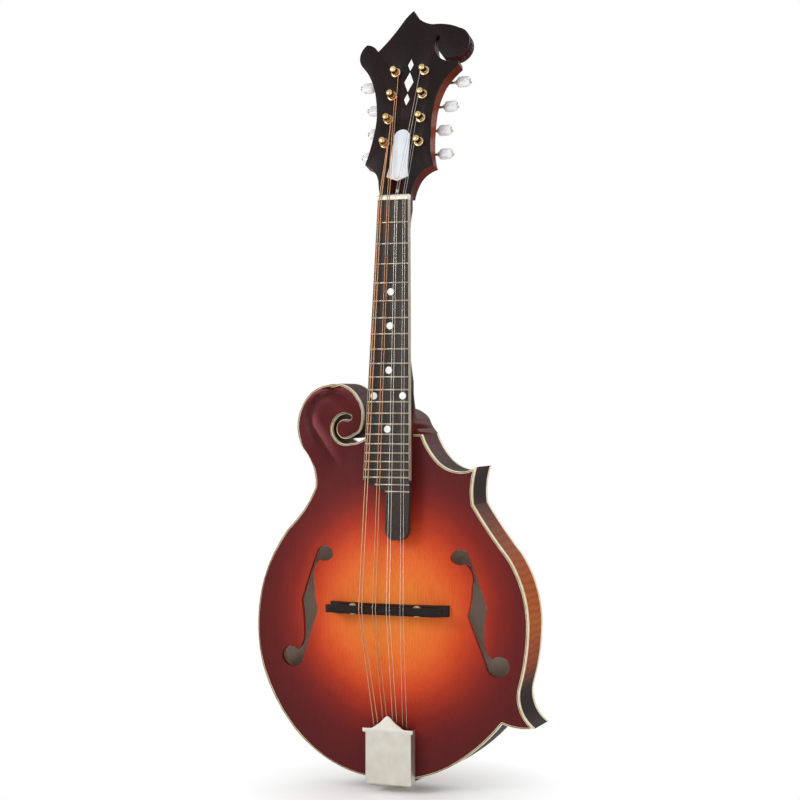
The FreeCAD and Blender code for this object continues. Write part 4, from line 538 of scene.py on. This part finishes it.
def slimmed_neck(build):
    """Draws the neck's sides in below the board, to the slope of a hand-carved soft V."""
    for _ in range(FINE_ROUNDS):
        long = []
        for edge in build.edges:
            low, high = sorted(vert.co.z for vert in edge.verts)
            if high - low > FINE_STEP and FINE_LOW < low and high < FINE_HIGH:
                long.append(edge)
        if long:
            bmesh.ops.subdivide_edges(build, edges=long, cuts=1)
    bmesh.ops.triangulate(build, faces=build.faces)
    for vert in build.verts:
        spot = vert.co
        depth = BOARD_BACK - (spot - BOARD_ORIGIN).dot(board_out)
        fade = min(1, (spot.z - SHAFT_LOW) / SHAFT_FADE, (SHAFT_HIGH - spot.z) / SHAFT_FADE)
        if fade > 0 and depth > 0:
            down = (BOARD_ORIGIN.z - spot.z) / (BOARD_ORIGIN.z - BOARD_HEEL)
            most = NUT_HALF + (HEEL_HALF - NUT_HALF) * down - NECK_SLOPE * depth
            if abs(spot.x) > most:
                spot.x += fade * (math.copysign(max(most, 0), spot.x) - spot.x)


def softened(node, width, reshape=None):
    """Stands for a node with its edges broken to this width, so that they catch the light."""
    build = copy_of(node)
    bmesh.ops.dissolve_limit(build, angle_limit=FLAT_ANGLE, verts=build.verts, edges=build.edges)
    if reshape:
        reshape(build)
    if width:
        sharp = [edge for edge in build.edges
                 if edge.is_manifold and edge.calc_face_angle() > math.radians(WORN_ANGLE)]
        bmesh.ops.bevel(build, geom=sharp, offset=width, segments=2, profile=0.7, affect="EDGES",
                        clamp_overlap=True)
    stand_in(node + "_softened", mesh_of(build, WORN_ANGLE, False), node)


softened("fingerboard", 0.12 * MM, rounded_tongue)
softened("neck", 0, slimmed_neck)
for node, width in (("peghead_overlay", 0.25), ("truss_rod_cover", 0.3), ("nut", 0.35),
                    ("bridge_base", 0.3), ("bridge_saddle", 0.25), ("tailpiece_cover", 0.25),
                    ("tailpiece_base", 0.12)):
    softened(node, width * MM)


# ---------------- binding plies

FRONT, BACK = -1, 1
BOARD_END_BAND = 1 * MM


def rims(build, faces):
    """The closed rows of corners round a set of faces."""
    edges = {edge for edge in build.edges if sum(face in faces for face in edge.link_faces) == 1}
    rows = []
    while edges:
        row = list(edges.pop().verts)
        while True:
            step = next((edge for edge in row[-1].link_edges if edge in edges), None)
            if step is None:
                break
            edges.discard(step)
            row.append(step.other_vert(row[-1]))
        rows.append(row)
    return rows


def enclosed(row):
    """The area, twice over, that a row of corners encloses as seen from the front."""
    return abs(sum(a.co.x * b.co.z - b.co.x * a.co.z for a, b in zip(row, row[1:] + row[:1])))


def plied(node, side):
    """Stands for a binding, with a map that runs from its outer side to its inner side."""
    build = copy_of(node)
    level = max(side * vert.co.y for vert in build.verts)
    flat = {face for face in build.faces
            if all(abs(side * vert.co.y - level) < SAME_SPOT for vert in face.verts)}
    outer = max(rims(build, flat), key=enclosed)
    tree = KDTree(len(outer))
    for i, vert in enumerate(outer):
        tree.insert((vert.co.x, 0, vert.co.z), i)
    tree.balance()
    across = build.loops.layers.uv.new("across")
    for face in build.faces:
        for corner in face.loops:
            far = tree.find((corner.vert.co.x, 0, corner.vert.co.z))[2] > SAME_SPOT
            corner[across].uv = (float(far), 0)
    stand_in(node + "_plies", mesh_of(build, WORN_ANGLE, False), node, plies)


def edged_board():
    """Stands for the board's two binding strips, mapped from their outer side inwards."""
    build = copy_of("fingerboard_binding")
    heel, nut = span([vert.co for vert in build.verts], Z_WAY)
    heel_half, nut_half = (
        sum(span([Vector((abs(vert.co.x), 0, 0)) for vert in build.verts
                  if abs(vert.co.z - level) < BOARD_END_BAND], X_WAY)) / 2 for level in (heel, nut))
    across = build.loops.layers.uv.new("across")
    for face in build.faces:
        for corner in face.loops:
            spot = corner.vert.co
            middle = heel_half + (nut_half - heel_half) * (spot.z - heel) / (nut - heel)
            corner[across].uv = (float(abs(spot.x) < middle), 0)
    mesh = mesh_of(build, WORN_ANGLE, False)
    stand_in("fingerboard_binding_plies", mesh, "fingerboard_binding", edge_plies)


plied("top_binding", FRONT)
plied("back_binding", BACK)
edged_board()


# ---------------- scroll

# The carved cove of the scroll, along the middle of its hollow, from its eye down to the bout.
COVE = [Vector((x, 0, z)) * MM for x, z in (
    (-40.3, 331.5), (-48.3, 336.0), (-57.6, 337.2), (-66.3, 335.4), (-72.3, 332.0), (-77.0, 325.3),
    (-79.0, 316.6), (-77.0, 308.0), (-70.3, 296.9), (-61.7, 283.3), (-52.3, 269.0))]
COVE_DEPTH, COVE_HALF = 2.3 * MM, 5.4 * MM
COVE_FACE, COVE_ROUNDS = 1.3 * MM, 6
# A power over one leaves its bottom sharper than its shoulders.
COVE_POWER = 1.15
# Its ends run out over a fifth and a third of its length.
EYE_FADE, BOUT_FADE = 5, 3
# The painted highlight on the ridge lies outside the cove over the scroll's top, and inside it from this
# share on.
CREST_TURN, CREST_TURN_SHARE = 0.42, 0.12
CREST_REACH, CREST_START = 8 * MM, 0.6 * COVE_HALF
# How strongly the cove's depth sets its painted shade.
HOLLOW_PAINTED_SHADE_STRENGTH = 1.3
# What is carved lies in front of this level and faces the front.
FRONT_LEVEL, FRONT_LEAN = -19 * MM, -0.3
SLIVER = 0.02 * MM


def carved_scroll():
    """Stands for the top plate, with the scroll's cove cut into finer faces there."""
    build = copy_of("top_plate")
    bmesh.ops.dissolve_degenerate(build, dist=SLIVER, edges=build.edges)
    legs = list(zip(COVE, COVE[1:]))
    lengths = [(b - a).length for a, b in legs]

    def off(spot):
        """How far a spot is from the cove's line, the share of the line passed, and its side of it."""
        flat, best, run = Vector((spot.x, 0, spot.z)), (1.0, 0.0, 0.0), 0.0
        for (a, b), length in zip(legs, lengths):
            way, share = b - a, min(max((flat - a).dot(b - a) / length ** 2, 0), 1)
            side = way.x * (flat - a).z - way.z * (flat - a).x
            best = min(best, ((flat - a.lerp(b, share)).length, run + share * length, side))
            run += length
        return best[0], best[1] / sum(lengths), best[2]

    for _ in range(COVE_ROUNDS):
        bmesh.ops.triangulate(build, faces=build.faces)
        long = [edge for edge in build.edges if edge.calc_length() > COVE_FACE
                and min(off(v.co)[0] for v in edge.verts) < COVE_HALF + CREST_REACH / 2 + edge.calc_length()
                and all(v.co.y < FRONT_LEVEL for v in edge.verts)]
        if long:
            bmesh.ops.subdivide_edges(build, edges=long, cuts=1)
    bmesh.ops.triangulate(build, faces=build.faces)
    # Besides the cut, each corner of the cove keeps painted shade in the hollow and a painted highlight
    # along the ridge.
    tone = build.verts.layers.float.new("carving")
    for vert in build.verts:
        reach, run, side = off(vert.co)
        if vert.co.y < FRONT_LEVEL and vert.normal.y < FRONT_LEAN:
            fade = max(0, min(1, EYE_FADE * run, BOUT_FADE * (1 - run)))
            hollow = max(0, 1 - reach / COVE_HALF) ** COVE_POWER * fade
            vert.co.y += COVE_DEPTH * hollow
            vert[tone] = HOLLOW_PAINTED_SHADE_STRENGTH * hollow
            if reach > CREST_START and (side > 0) == (run > CREST_TURN):
                crest_painted_highlight = max(0, 1 - (reach - CREST_START) / CREST_REACH) * fade
                vert[tone] -= crest_painted_highlight * min(1, abs(run - CREST_TURN) / CREST_TURN_SHARE)
    stand_in("top_plate_carved", mesh_of(build, WORN_ANGLE, False), "top_plate")


carved_scroll()


# ---------------- dots and frets

DOT_RADIUS, DOT_BEVEL, DOT_CROWN = 3.1, 0.15, (0.02, 0.03)
FRET_CROWN_SHARE, FRET_CROWN_POWER, FRET_CROWN_STEPS = 0.75, 0.8, 12
# How far in from its end, in millimetres, a fret has which share of its height.
FRET_END_SHARES = ((0, 0.3), (0.3, 0.72), (0.9, 1))


def round_dots():
    """Pearl dots set flush in the board."""
    discs = []
    for corner_set in islands("position_dots"):
        low, high = span(corner_set, board_out)
        middle = sum(corner_set, Vector()) / len(corner_set)
        foot = middle + board_out * (low - middle.dot(board_out))
        deep = (high - low) / MM
        discs.append(turned(foot, board_out, [
            (0, 0), (DOT_RADIUS, 0), (DOT_RADIUS, deep), (DOT_RADIUS - DOT_BEVEL, deep + DOT_CROWN[0]),
            (0, deep + DOT_CROWN[1])], 40))
    return merged(discs)


def crowned_frets():
    """Frets with a round crown and ends filed to a slope."""
    build = bmesh.new()
    for corner_set in islands("frets"):
        left, right = span(corner_set, X_WAY)
        low, high = span(corner_set, board_out)
        start, end = span(corner_set, board_along)
        half, rings = (end - start) / 2 * FRET_CROWN_SHARE, []
        ends = [(left + reach * MM, share) for reach, share in FRET_END_SHARES]
        ends += [(right - reach * MM, share) for reach, share in reversed(FRET_END_SHARES)]
        for x, share in ends:
            rings.append([])
            for step in range(FRET_CROWN_STEPS + 1):
                turn = math.pi * step / FRET_CROWN_STEPS
                along = (start + end) / 2 + half * math.cos(turn)
                up = low + (high - low) * share * math.sin(turn) ** FRET_CROWN_POWER
                rings[-1].append(Vector((x, 0, 0)) + board_along * along + board_out * up)
        loft(build, rings)
    return build


stand_in("position_dots_round", mesh_of(round_dots()), "position_dots")
stand_in("frets_crowned", mesh_of(crowned_frets(), 50), "frets")


# ---------------- tuners

POST_HEIGHT = 7.6
BUSHING_PROFILE = [(2.96, 0), (4.6, 0), (4.6, 0.3), (4.42, 0.7), (4.0, 0.98), (3.5, 1.1), (3.1, 1.08),
                   (2.96, 0.95)]
CAP_PROFILE = [(0, -0.05), (2.9, -0.05), (2.9, 0.2), (2.7, 0.6), (2.2, 0.95), (1.4, 1.2), (0.7, 1.3),
               (0, 1.33)]
TIP_PROFILE = [(0, 6.2), (2.3, 6.2), (2.3, 6.75), (2.05, 7.2), (1.3, 7.55), (0, 7.7)]
COLLAR_PROFILE = [(1.27, -6.2), (2.4, -6.2), (2.4, -6.8), (2.0, -7.3), (1.27, -7.3)]
# Half a button's width, thickness and length, and its sections as shares of the half length.
BUTTON_HALF = Vector((5.2, 3.0, 6.5)) * MM
BUTTON_SHARES = (0.995, 0.97, 0.92, 0.82, 0.65, 0.4, 0.14)
# The power and the root by which its width and thickness fall off, and how square its sections are.
WIDTH_FALL, THICKNESS_FALL = (5, 0.36), (4.5, 0.42)
BUTTON_SQUARENESS, BUTTON_TAPER, BUTTON_NARROWING = 0.75, 0.04, 0.98
BUTTON_SIDES = 32


def post_axis(tuner):
    """A post's outward axis, the point where it meets the peghead's face, and its lower end."""
    hinge = hinges["string_post_" + tuner]
    axis, spot = Vector(hinge["axis"]).normalized(), Vector(hinge["pos_m"])
    low, high = span(corners("string_post_" + tuner), axis)
    return axis, spot + axis * (high - POST_HEIGHT * MM - spot.dot(axis)), low


def button_place(tuner):
    """The middle of a button: Z runs out along its shaft and Y to the front."""
    hinge = hinges["worm_shaft_" + tuner]
    axis, spot = Vector(hinge["axis"]).normalized(), Vector(hinge["pos_m"])
    reach = sum(span(corners("tuner_button_" + tuner), axis)) / 2 - spot.dot(axis)
    return seat(spot + axis * reach, math.copysign(1, reach) * axis, post_axis(tuner)[0])


def oval_button(place):
    """A moulded button: a fat oval whose corners and faces are all rounded."""
    build = bmesh.new()
    rings = []
    for share in [-share for share in BUTTON_SHARES] + [*reversed(BUTTON_SHARES)]:
        wide, thick = (half * (1 - abs(share) ** power) ** root for half, (power, root) in
                       zip(BUTTON_HALF, (WIDTH_FALL, THICKNESS_FALL)))
        wide *= (1 - BUTTON_TAPER * share) * BUTTON_NARROWING
        rings.append([])
        for step in range(BUTTON_SIDES):
            turn = 2 * math.pi * step / BUTTON_SIDES
            x, y = (math.copysign(abs(v) ** BUTTON_SQUARENESS, v) for v in (math.cos(turn), math.sin(turn)))
            rings[-1].append(place @ Vector((wide * x, thick * y, BUTTON_HALF.z * share)))
    loft(build, rings)
    return build


bushings = []
for tuner in TUNERS:
    out, face = post_axis(tuner)[:2]
    bushings.append(turned(face, out, BUSHING_PROFILE, 40))
    cap = turned(face + out * POST_HEIGHT * MM, out, CAP_PROFILE)
    # The cap takes the posts' painted warm reflection.
    finished("post_cap_" + tuner, mesh_of(cap), "string_post_" + tuner, post_plate_painted_warm_reflection)
    place = button_place(tuner)
    stand_in("button_" + tuner, mesh_of(oval_button(place), 60), "tuner_button_" + tuner)
    middle, outward = place.to_translation(), place.to_3x3() @ Z_WAY
    fittings = merged([turned(middle, outward, TIP_PROFILE), turned(middle, outward, COLLAR_PROFILE)])
    finished("button_fittings_" + tuner, mesh_of(fittings), "worm_shaft_" + tuner)
# The bushings take the posts' painted warm reflection.
stand_in("post_bushings_round", mesh_of(merged(bushings), 50), "post_bushings", post_plate_painted_warm_reflection)


# ---------------- bridge wheels

WHEEL_RADIUS, WHEEL_BORE = 5.0, 1.65
WHEEL_BEVEL, WHEEL_EDGE = 0.45, 0.4
KNURL_STEPS, KNURL_DEPTH = 120, 0.28


def knurled_wheel(node):
    """Stands for a thumbwheel, with a knurled edge between two small bevels."""
    low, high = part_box(node)
    foot = Vector(((low.x + high.x) / 2, high.y, (low.z + high.z) / 2))
    tall = (high.y - low.y) / MM
    profile = [(WHEEL_BORE, 0), (WHEEL_RADIUS - WHEEL_BEVEL, 0), (WHEEL_RADIUS, WHEEL_EDGE, 1),
               (WHEEL_RADIUS, tall - WHEEL_EDGE, 1), (WHEEL_RADIUS - WHEEL_BEVEL, tall), (WHEEL_BORE, tall)]
    build = turned(foot, Vector((0, -1, 0)), profile, KNURL_STEPS, KNURL_DEPTH)
    stand_in(node + "_knurled", mesh_of(build, 25), node)


for side in SIDES:
    knurled_wheel(side + "_thumbwheel")


# ---------------- strings

# Lengths in this part are millimetres until the route is given.
PEG_ALONG = Vector((0, 0.300706, 0.953717))
SEAT_GAP = 0.05
HOOK_RADIUS, HOOK_PITCH = 0.8, 4.1
HOOK_SEAT = Vector((0, -26.65, 25.0))
SADDLE_CREST = Vector((0, -48.25, 150.3))
NUT_CREST = Vector((0, -18.2, 508.16))
STRING_OUT = Vector((0, -0.996493, 0.083678))
# The loop's tail and foot stand this many hook radii above the hook.
LOOP_TAIL, LOOP_FOOT, LOOP_STEPS = 3, 4, 12
FOOT_BEND, SADDLE_BEND, NUT_BEND, BEND_STEPS = 4.8, 2.0, 2.07, 4
POST_RADIUS, BUSHING_FLANGE, WINDING_GAP, WINDING_STEPS = 2.9, 1.1, 0.8, 24
# The string's end bends into the post's hole, a thick one off the middle of it.
TUCK_BEND, TUCK_STEPS, TUCK_END = 1.1, 6, 0.4
HOLE_ROOM, HOLE_ROOM_TAKEN = 1.0, 0.6
WIRE_SIDES = 12
# Gauge, tuner, and the place across the saddle and the nut, from bass to treble.
COURSES = ((1.02, "bass_1", -20.4, -11.85), (1.02, "bass_2", -17.6, -9.95),
           (0.66, "bass_3", -7.733, -4.583), (0.66, "bass_4", -4.933, -2.683),
           (0.38, "treble_4", 4.933, 2.683), (0.38, "treble_3", 7.733, 4.583),
           (0.28, "treble_2", 17.6, 9.95), (0.28, "treble_1", 20.4, 11.85))


def eased(before, corner, after, radius):
    """Points round a corner between two straight runs."""
    back, ahead = (before - corner).normalized(), (after - corner).normalized()
    reach = radius * math.tan((math.pi - back.angle(ahead)) / 2)
    start, end = corner + back * reach, corner + ahead * reach
    shares = [step / BEND_STEPS for step in range(BEND_STEPS + 1)]
    return [start.lerp(corner, share).lerp(corner.lerp(end, share), share) for share in shares]


def string_route(number):
    """The way of a string: round its hook, over saddle and nut, once round its post, and in."""
    gauge, tuner, saddle_x, nut_x = COURSES[number]
    radius = gauge / 2
    hook = HOOK_SEAT + Vector(((number - (len(COURSES) - 1) / 2) * HOOK_PITCH, 0, 0))
    bow = HOOK_RADIUS + radius + SEAT_GAP
    points = [hook + Vector((-bow, 0, LOOP_TAIL * HOOK_RADIUS))]
    for step in range(LOOP_STEPS + 1):
        turn = math.pi * (1 + step / LOOP_STEPS)
        points.append(hook + Vector((bow * math.cos(turn), 0, bow * math.sin(turn))))
    foot = hook + Vector((bow, 0, LOOP_FOOT * HOOK_RADIUS))
    lift = STRING_OUT * (radius + SEAT_GAP)
    saddle = SADDLE_CREST + lift + Vector((saddle_x, 0, 0))
    nut = NUT_CREST + lift + Vector((nut_x, 0, 0))
    out, face = post_axis(tuner)[:2]
    face = face / MM
    side = -1 if tuner.startswith("bass") else 1

    def on_post(reach, drift, turn, height):
        """A point beside the post: its reach at a turn, its drift square to that, and its height."""
        x = reach * math.cos(turn) - drift * math.sin(turn)
        z = reach * math.sin(turn) + drift * math.cos(turn)
        return face + Vector((-side * x, 0, 0)) + PEG_ALONG * z + out * height

    hold = POST_RADIUS + radius + 2 * SEAT_GAP
    start = BUSHING_FLANGE + WINDING_GAP / 2 + radius
    climb = gauge + WINDING_GAP
    points += eased(points[-1], foot, saddle, FOOT_BEND)
    points += eased(foot, saddle, nut, SADDLE_BEND)
    points += eased(saddle, nut, on_post(hold, 0, 0, start), NUT_BEND)
    for step in range(WINDING_STEPS + 1):
        share = step / WINDING_STEPS
        points.append(on_post(hold, 0, 2 * math.pi * share, start + climb * share))
    bend = gauge * TUCK_BEND
    slack = min(HOLE_ROOM - gauge * HOLE_ROOM_TAKEN, bend)
    lead = math.asin((bend - slack) / (hold - bend))
    turn, top = 2 * math.pi + lead, start + climb
    for step in range(1, TUCK_STEPS + 1):
        swing = math.pi / 2 * step / TUCK_STEPS
        reach = (hold - bend) * math.cos(lead) + bend * math.cos(swing)
        points.append(on_post(reach, slack - bend + bend * math.sin(swing), turn, top))
    points.append(on_post(-POST_RADIUS * TUCK_END, slack, turn, top))
    return [point * MM for point in points], radius * MM


def wire(numbers):
    """Round wires along their routes, with a map that runs along each."""
    build = bmesh.new()
    run = build.loops.layers.uv.new("run")
    for number in numbers:
        points, radius = string_route(number)
        across, far, rings, ways = X_WAY, 0, [], []
        for i, point in enumerate(points):
            ahead = (points[min(i + 1, len(points) - 1)] - points[max(i - 1, 0)]).normalized()
            across = (across - ahead * across.dot(ahead)).normalized()
            other = ahead.cross(across)
            far += (point - points[i - 1]).length if i else 0
            ways.append(far)
            rings.append([])
            for step in range(WIRE_SIDES):
                turn = 2 * math.pi * step / WIRE_SIDES
                rings[-1].append(point + (across * math.cos(turn) + other * math.sin(turn)) * radius)
        for way, ring in zip(ways, loft(build, rings)):
            for vert in ring:
                for corner in vert.link_loops:
                    corner[run].uv = (way, 0)
    return build


for node, numbers in (("wound_strings", range(4)), ("plain_strings", range(4, 8))):
    stand_in(node + "_round", mesh_of(wire(numbers), 60), node)


# ---------------- screws

# A head's small end, its slot and the blade that cuts it, as shares of its radius.
HEAD_TOP_SHARE, SLOT_SHARE, BLADE_SHARE = 0.78, 0.3, 2.6
HEAD_SIDES, SLOT_SEED, SLOT_TURN = 28, 7, 3.0
# Radius and height of the heads.
PLATE_SCREW, GEAR_SCREW, COVER_SCREW, FOOT_SCREW = (
    (radius * MM, height * MM) for radius, height in ((1.6, 0.8), (2.1, 0.9), (1.8, 0.8), (1.9, 0.9)))
# The plate's outer face lies this far behind the peghead's, and its screws at these shares of the
# way from one post to the next.
PLATE_BACK = 13.8 * MM
BETWEEN_SHARE, LAST_SHARE = 0.42, 0.31
COVER_SCREW_RISE = 3.2 * MM
FOOT_SCREW_ASIDE = 14 * MM


def screw_heads():
    """Slotted screw heads on points: named sizes, a fixed seed for the turn of each slot."""
    tree = bpy.data.node_groups.new("slotted_screw_heads", "GeometryNodeTree")
    make = tree.interface.new_socket
    make("Geometry", in_out="INPUT", socket_type="NodeSocketGeometry")
    sockets = {name: make(name, in_out="INPUT", socket_type="NodeSocket" + kind) for name, kind in (
        ("Head Radius", "Float"), ("Head Height", "Float"), ("Slot Width", "Float"), ("Lean", "Vector"),
        ("Finish", "Material"))}
    make("Geometry", in_out="OUTPUT", socket_type="NodeSocketGeometry")
    given = add(tree, "NodeGroupInput").outputs
    radius, height = given["Head Radius"], given["Head Height"]
    narrow = add(tree, "ShaderNodeMath", {0: radius, 1: HEAD_TOP_SHARE}, operation="MULTIPLY")
    head = add(tree, "GeometryNodeMeshCone", {"Vertices": HEAD_SIDES, "Radius Top": narrow.outputs[0],
                                              "Radius Bottom": radius, "Depth": height})
    long = add(tree, "ShaderNodeMath", {0: radius, 1: BLADE_SHARE}, operation="MULTIPLY")
    size = add(tree, "ShaderNodeCombineXYZ", {0: long.outputs[0], 1: given["Slot Width"], 2: height})
    lift = add(tree, "ShaderNodeCombineXYZ", {2: height})
    blade = add(tree, "GeometryNodeMeshCube", {"Size": size.outputs[0]})
    raised = add(tree, "GeometryNodeTransform", {"Geometry": blade.outputs[0],
                                                 "Translation": lift.outputs[0]})
    slotted = add(tree, "GeometryNodeMeshBoolean", {"Mesh 1": head.outputs[0], "Mesh 2": raised.outputs[0]},
                  operation="DIFFERENCE")
    placed = add(tree, "GeometryNodeInstanceOnPoints", {
        "Points": given["Geometry"], "Instance": slotted.outputs[0], "Rotation": given["Lean"]})
    slot_turn = add(tree, "FunctionNodeRandomValue", {2: 0.0, 3: SLOT_TURN, "Seed": SLOT_SEED})
    twist = add(tree, "ShaderNodeCombineXYZ", {2: slot_turn.outputs[1]})
    twisted = add(tree, "GeometryNodeRotateInstances", {"Instances": placed.outputs[0],
                                                        "Rotation": twist.outputs[0]})
    real = add(tree, "GeometryNodeRealizeInstances", {"Geometry": twisted.outputs[0]})
    done = add(tree, "GeometryNodeSetMaterial", {"Geometry": real.outputs[0], "Material": given["Finish"]})
    add(tree, "NodeGroupOutput", {"Geometry": done.outputs[0]})
    return tree, {name: socket.identifier for name, socket in sockets.items()}


screw_tree, screw_inputs = screw_heads()


def screws(name, node, spots, out, radius, height):
    """Screw heads at these spots, facing outwards, as one plain mesh on the node's body."""
    points = bpy.data.meshes.new("screw_spots")
    points.from_pydata(spots, [], [])
    holder = bpy.data.objects.new("screw_spots", points)
    bpy.context.scene.collection.objects.link(holder)
    heads = holder.modifiers.new("heads", "NODES")
    heads.node_group = screw_tree
    lean = seat(Vector(), out, Vector((0.1, 0.2, 1))).to_euler()
    given = {"Head Radius": radius, "Head Height": height, "Slot Width": radius * SLOT_SHARE,
             "Lean": lean, "Finish": slots["tuner_metal"]}
    for key, value in given.items():
        heads[screw_inputs[key]] = value
    mesh = bpy.data.meshes.new_from_object(holder.evaluated_get(bpy.context.evaluated_depsgraph_get()))
    bpy.data.objects.remove(holder)
    mesh.shade_smooth()
    mesh.set_sharp_from_angle(angle=math.radians(WORN_ANGLE))
    finished(name, mesh, node, slot="tuner_metal")


for side in SIDES:
    places = [post_axis("%s_%d" % (side, number))[1] for number in (1, 2, 3, 4)]
    out = post_axis(side + "_1")[0]
    step = places[1] - places[0]
    shares = (BETWEEN_SHARE, BETWEEN_SHARE, BETWEEN_SHARE, LAST_SHARE)
    spots = [face - out * PLATE_BACK + step * share for face, share in zip(places, shares)]
    screws(side + "_plate_screws", side + "_tuner_plate", spots, -out, *PLATE_SCREW)
for tuner in TUNERS:
    out, face, low = post_axis(tuner)
    end = face + out * (low - face.dot(out))
    screws("gear_screw_" + tuner, "string_post_" + tuner, [end], -out, *GEAR_SCREW)

peg_out = post_axis("bass_1")[0]
cover_low = span(corners("truss_rod_cover"), PEG_ALONG)[0]
cover_face = span(corners("truss_rod_cover"), peg_out)[1]
cover_spot = PEG_ALONG * (cover_low + COVER_SCREW_RISE) + peg_out * cover_face
screws("cover_screw", "truss_rod_cover", [cover_spot], peg_out, *COVER_SCREW)
foot_spots = [Vector((side * FOOT_SCREW_ASIDE, 0, 0)) for side in (-1, 1)]
screws("tail_foot_screws", "tailpiece_base", foot_spots, -Z_WAY, *FOOT_SCREW)


# ---------------- stage

FLOOR_REACH, FLOOR_GAP = 4.0, 0.5 * MM
# The floor's shadow gives way to plain white between these distances.
SHADOW_START, SHADOW_END = 0.02, 0.14
WORLD_LIGHT = 0.5
# Place, aim, width and power of each lamp.
LAMPS = {"key_light": ((-1.5, -2.2, 1.5), (0, 0, 0.3), 1.1, 38),
         "low_light": ((0.7, -1.6, 0.02), (0, 0, 0.0), 0.5, 3),
         "fill_light": ((1.9, -1.6, 0.5), (0, 0, 0.3), 1.4, 14),
         "back_light": ((0.8, 1.8, 1.4), (0, 0, 0.3), 1.2, 12)}


def background_rays(tree):
    """One for rays that see the backdrop: from the camera, off a mirror or through glass."""
    rays = add(tree, "ShaderNodeLightPath").outputs
    either = add(tree, "ShaderNodeMath", {0: rays["Is Camera Ray"], 1: rays["Is Glossy Ray"]},
                 operation="MAXIMUM").outputs[0]
    return add(tree, "ShaderNodeMath", {0: either, 1: rays["Is Transmission Ray"]},
               operation="MAXIMUM").outputs[0]


def paper_floor():
    """A white paper floor that keeps the object's shadow and fades into the backdrop."""
    height = size_at_load[0][2] - FLOOR_GAP
    mesh = bpy.data.meshes.new("studio_floor")
    square = ((-1, -1), (1, -1), (1, 1), (-1, 1))
    mesh.from_pydata([(x * FLOOR_REACH, y * FLOOR_REACH, height) for x, y in square], [], [(0, 1, 2, 3)])
    floor = bpy.data.objects.new("studio_floor", mesh)
    bpy.context.scene.collection.objects.link(floor)
    paper, tree, shader, place = material("studio_paper_floor", base_color=colour("#FFFFFF"), roughness=0.9)
    away = add(tree, "ShaderNodeVectorMath", {0: place}, operation="LENGTH").outputs["Value"]
    fade = add(tree, "ShaderNodeMapRange", {"Value": away, "From Min": SHADOW_START,
                                            "From Max": SHADOW_END}).outputs[0]
    share = add(tree, "ShaderNodeMath", {0: fade, 1: background_rays(tree)}, operation="MULTIPLY")
    white = add(tree, "ShaderNodeEmission", {"Color": colour("#FFFFFF"), "Strength": 1.0})
    mixed = add(tree, "ShaderNodeMixShader", {0: share.outputs[0], 1: shader.outputs[0],
                                              2: white.outputs[0]})
    tree.links.new(mixed.outputs[0], tree.nodes["Material Output"].inputs["Surface"])
    mesh.materials.append(paper)


def white_world():
    """A world that looks white and lights the object at half that."""
    world = bpy.data.worlds.new("studio_white")
    bpy.context.scene.world = world
    world.use_nodes = True
    tree = world.node_tree
    background = tree.nodes["Background"]
    background.inputs["Color"].default_value = colour("#FFFFFF")
    strength = add(tree, "ShaderNodeMapRange", {"Value": background_rays(tree), "To Min": WORLD_LIGHT,
                                                "To Max": 1.0})
    tree.links.new(strength.outputs[0], background.inputs["Strength"])


def soft_box(name, at, towards, width, power):
    """A square studio light aimed at a point."""
    data = bpy.data.lights.new(name, "AREA")
    data.size = width
    data.energy = power
    light = bpy.data.objects.new(name, data)
    bpy.context.scene.collection.objects.link(light)
    aim = (Vector(towards) - Vector(at)).to_track_quat("-Z", "Y")
    light.matrix_world = Matrix.Translation(at) @ aim.to_matrix().to_4x4()


paper_floor()
white_world()
for name, settings in LAMPS.items():
    soft_box(name, *settings)


# ---------------- camera

# The photograph's camera, as fitted to the fretted scale and the outline.
FOCAL_PIXELS, PICTURE_PIXELS, SENSOR_WIDTH = 1800, 800, 36
CAMERA_DISTANCE = 1560.2 * MM
CAMERA_TARGET = Vector((7.35, -20.75, 330.7)) * MM
AZIMUTH, ELEVATION, ROLL = (math.radians(angle) for angle in (21.81, 0.16, -0.23))
CLIP_START, CLIP_END = 0.01, 50

camera_data = bpy.data.cameras.new("photo_camera")
camera_data.sensor_width = SENSOR_WIDTH
camera_data.lens = FOCAL_PIXELS / PICTURE_PIXELS * SENSOR_WIDTH
camera_data.clip_start, camera_data.clip_end = CLIP_START, CLIP_END
camera = bpy.data.objects.new("photo_camera", camera_data)
bpy.context.scene.collection.objects.link(camera)
away = Vector((math.sin(AZIMUTH) * math.cos(ELEVATION), -math.cos(AZIMUTH) * math.cos(ELEVATION),
               math.sin(ELEVATION)))
look = (-away).to_track_quat("-Z", "Y").to_matrix().to_4x4()
place = Matrix.Translation(CAMERA_TARGET + CAMERA_DISTANCE * away)
camera.matrix_world = place @ look @ Matrix.Rotation(ROLL, 4, "Z")
bpy.context.scene.camera = camera
bpy.context.scene.view_settings.view_transform = "Standard"
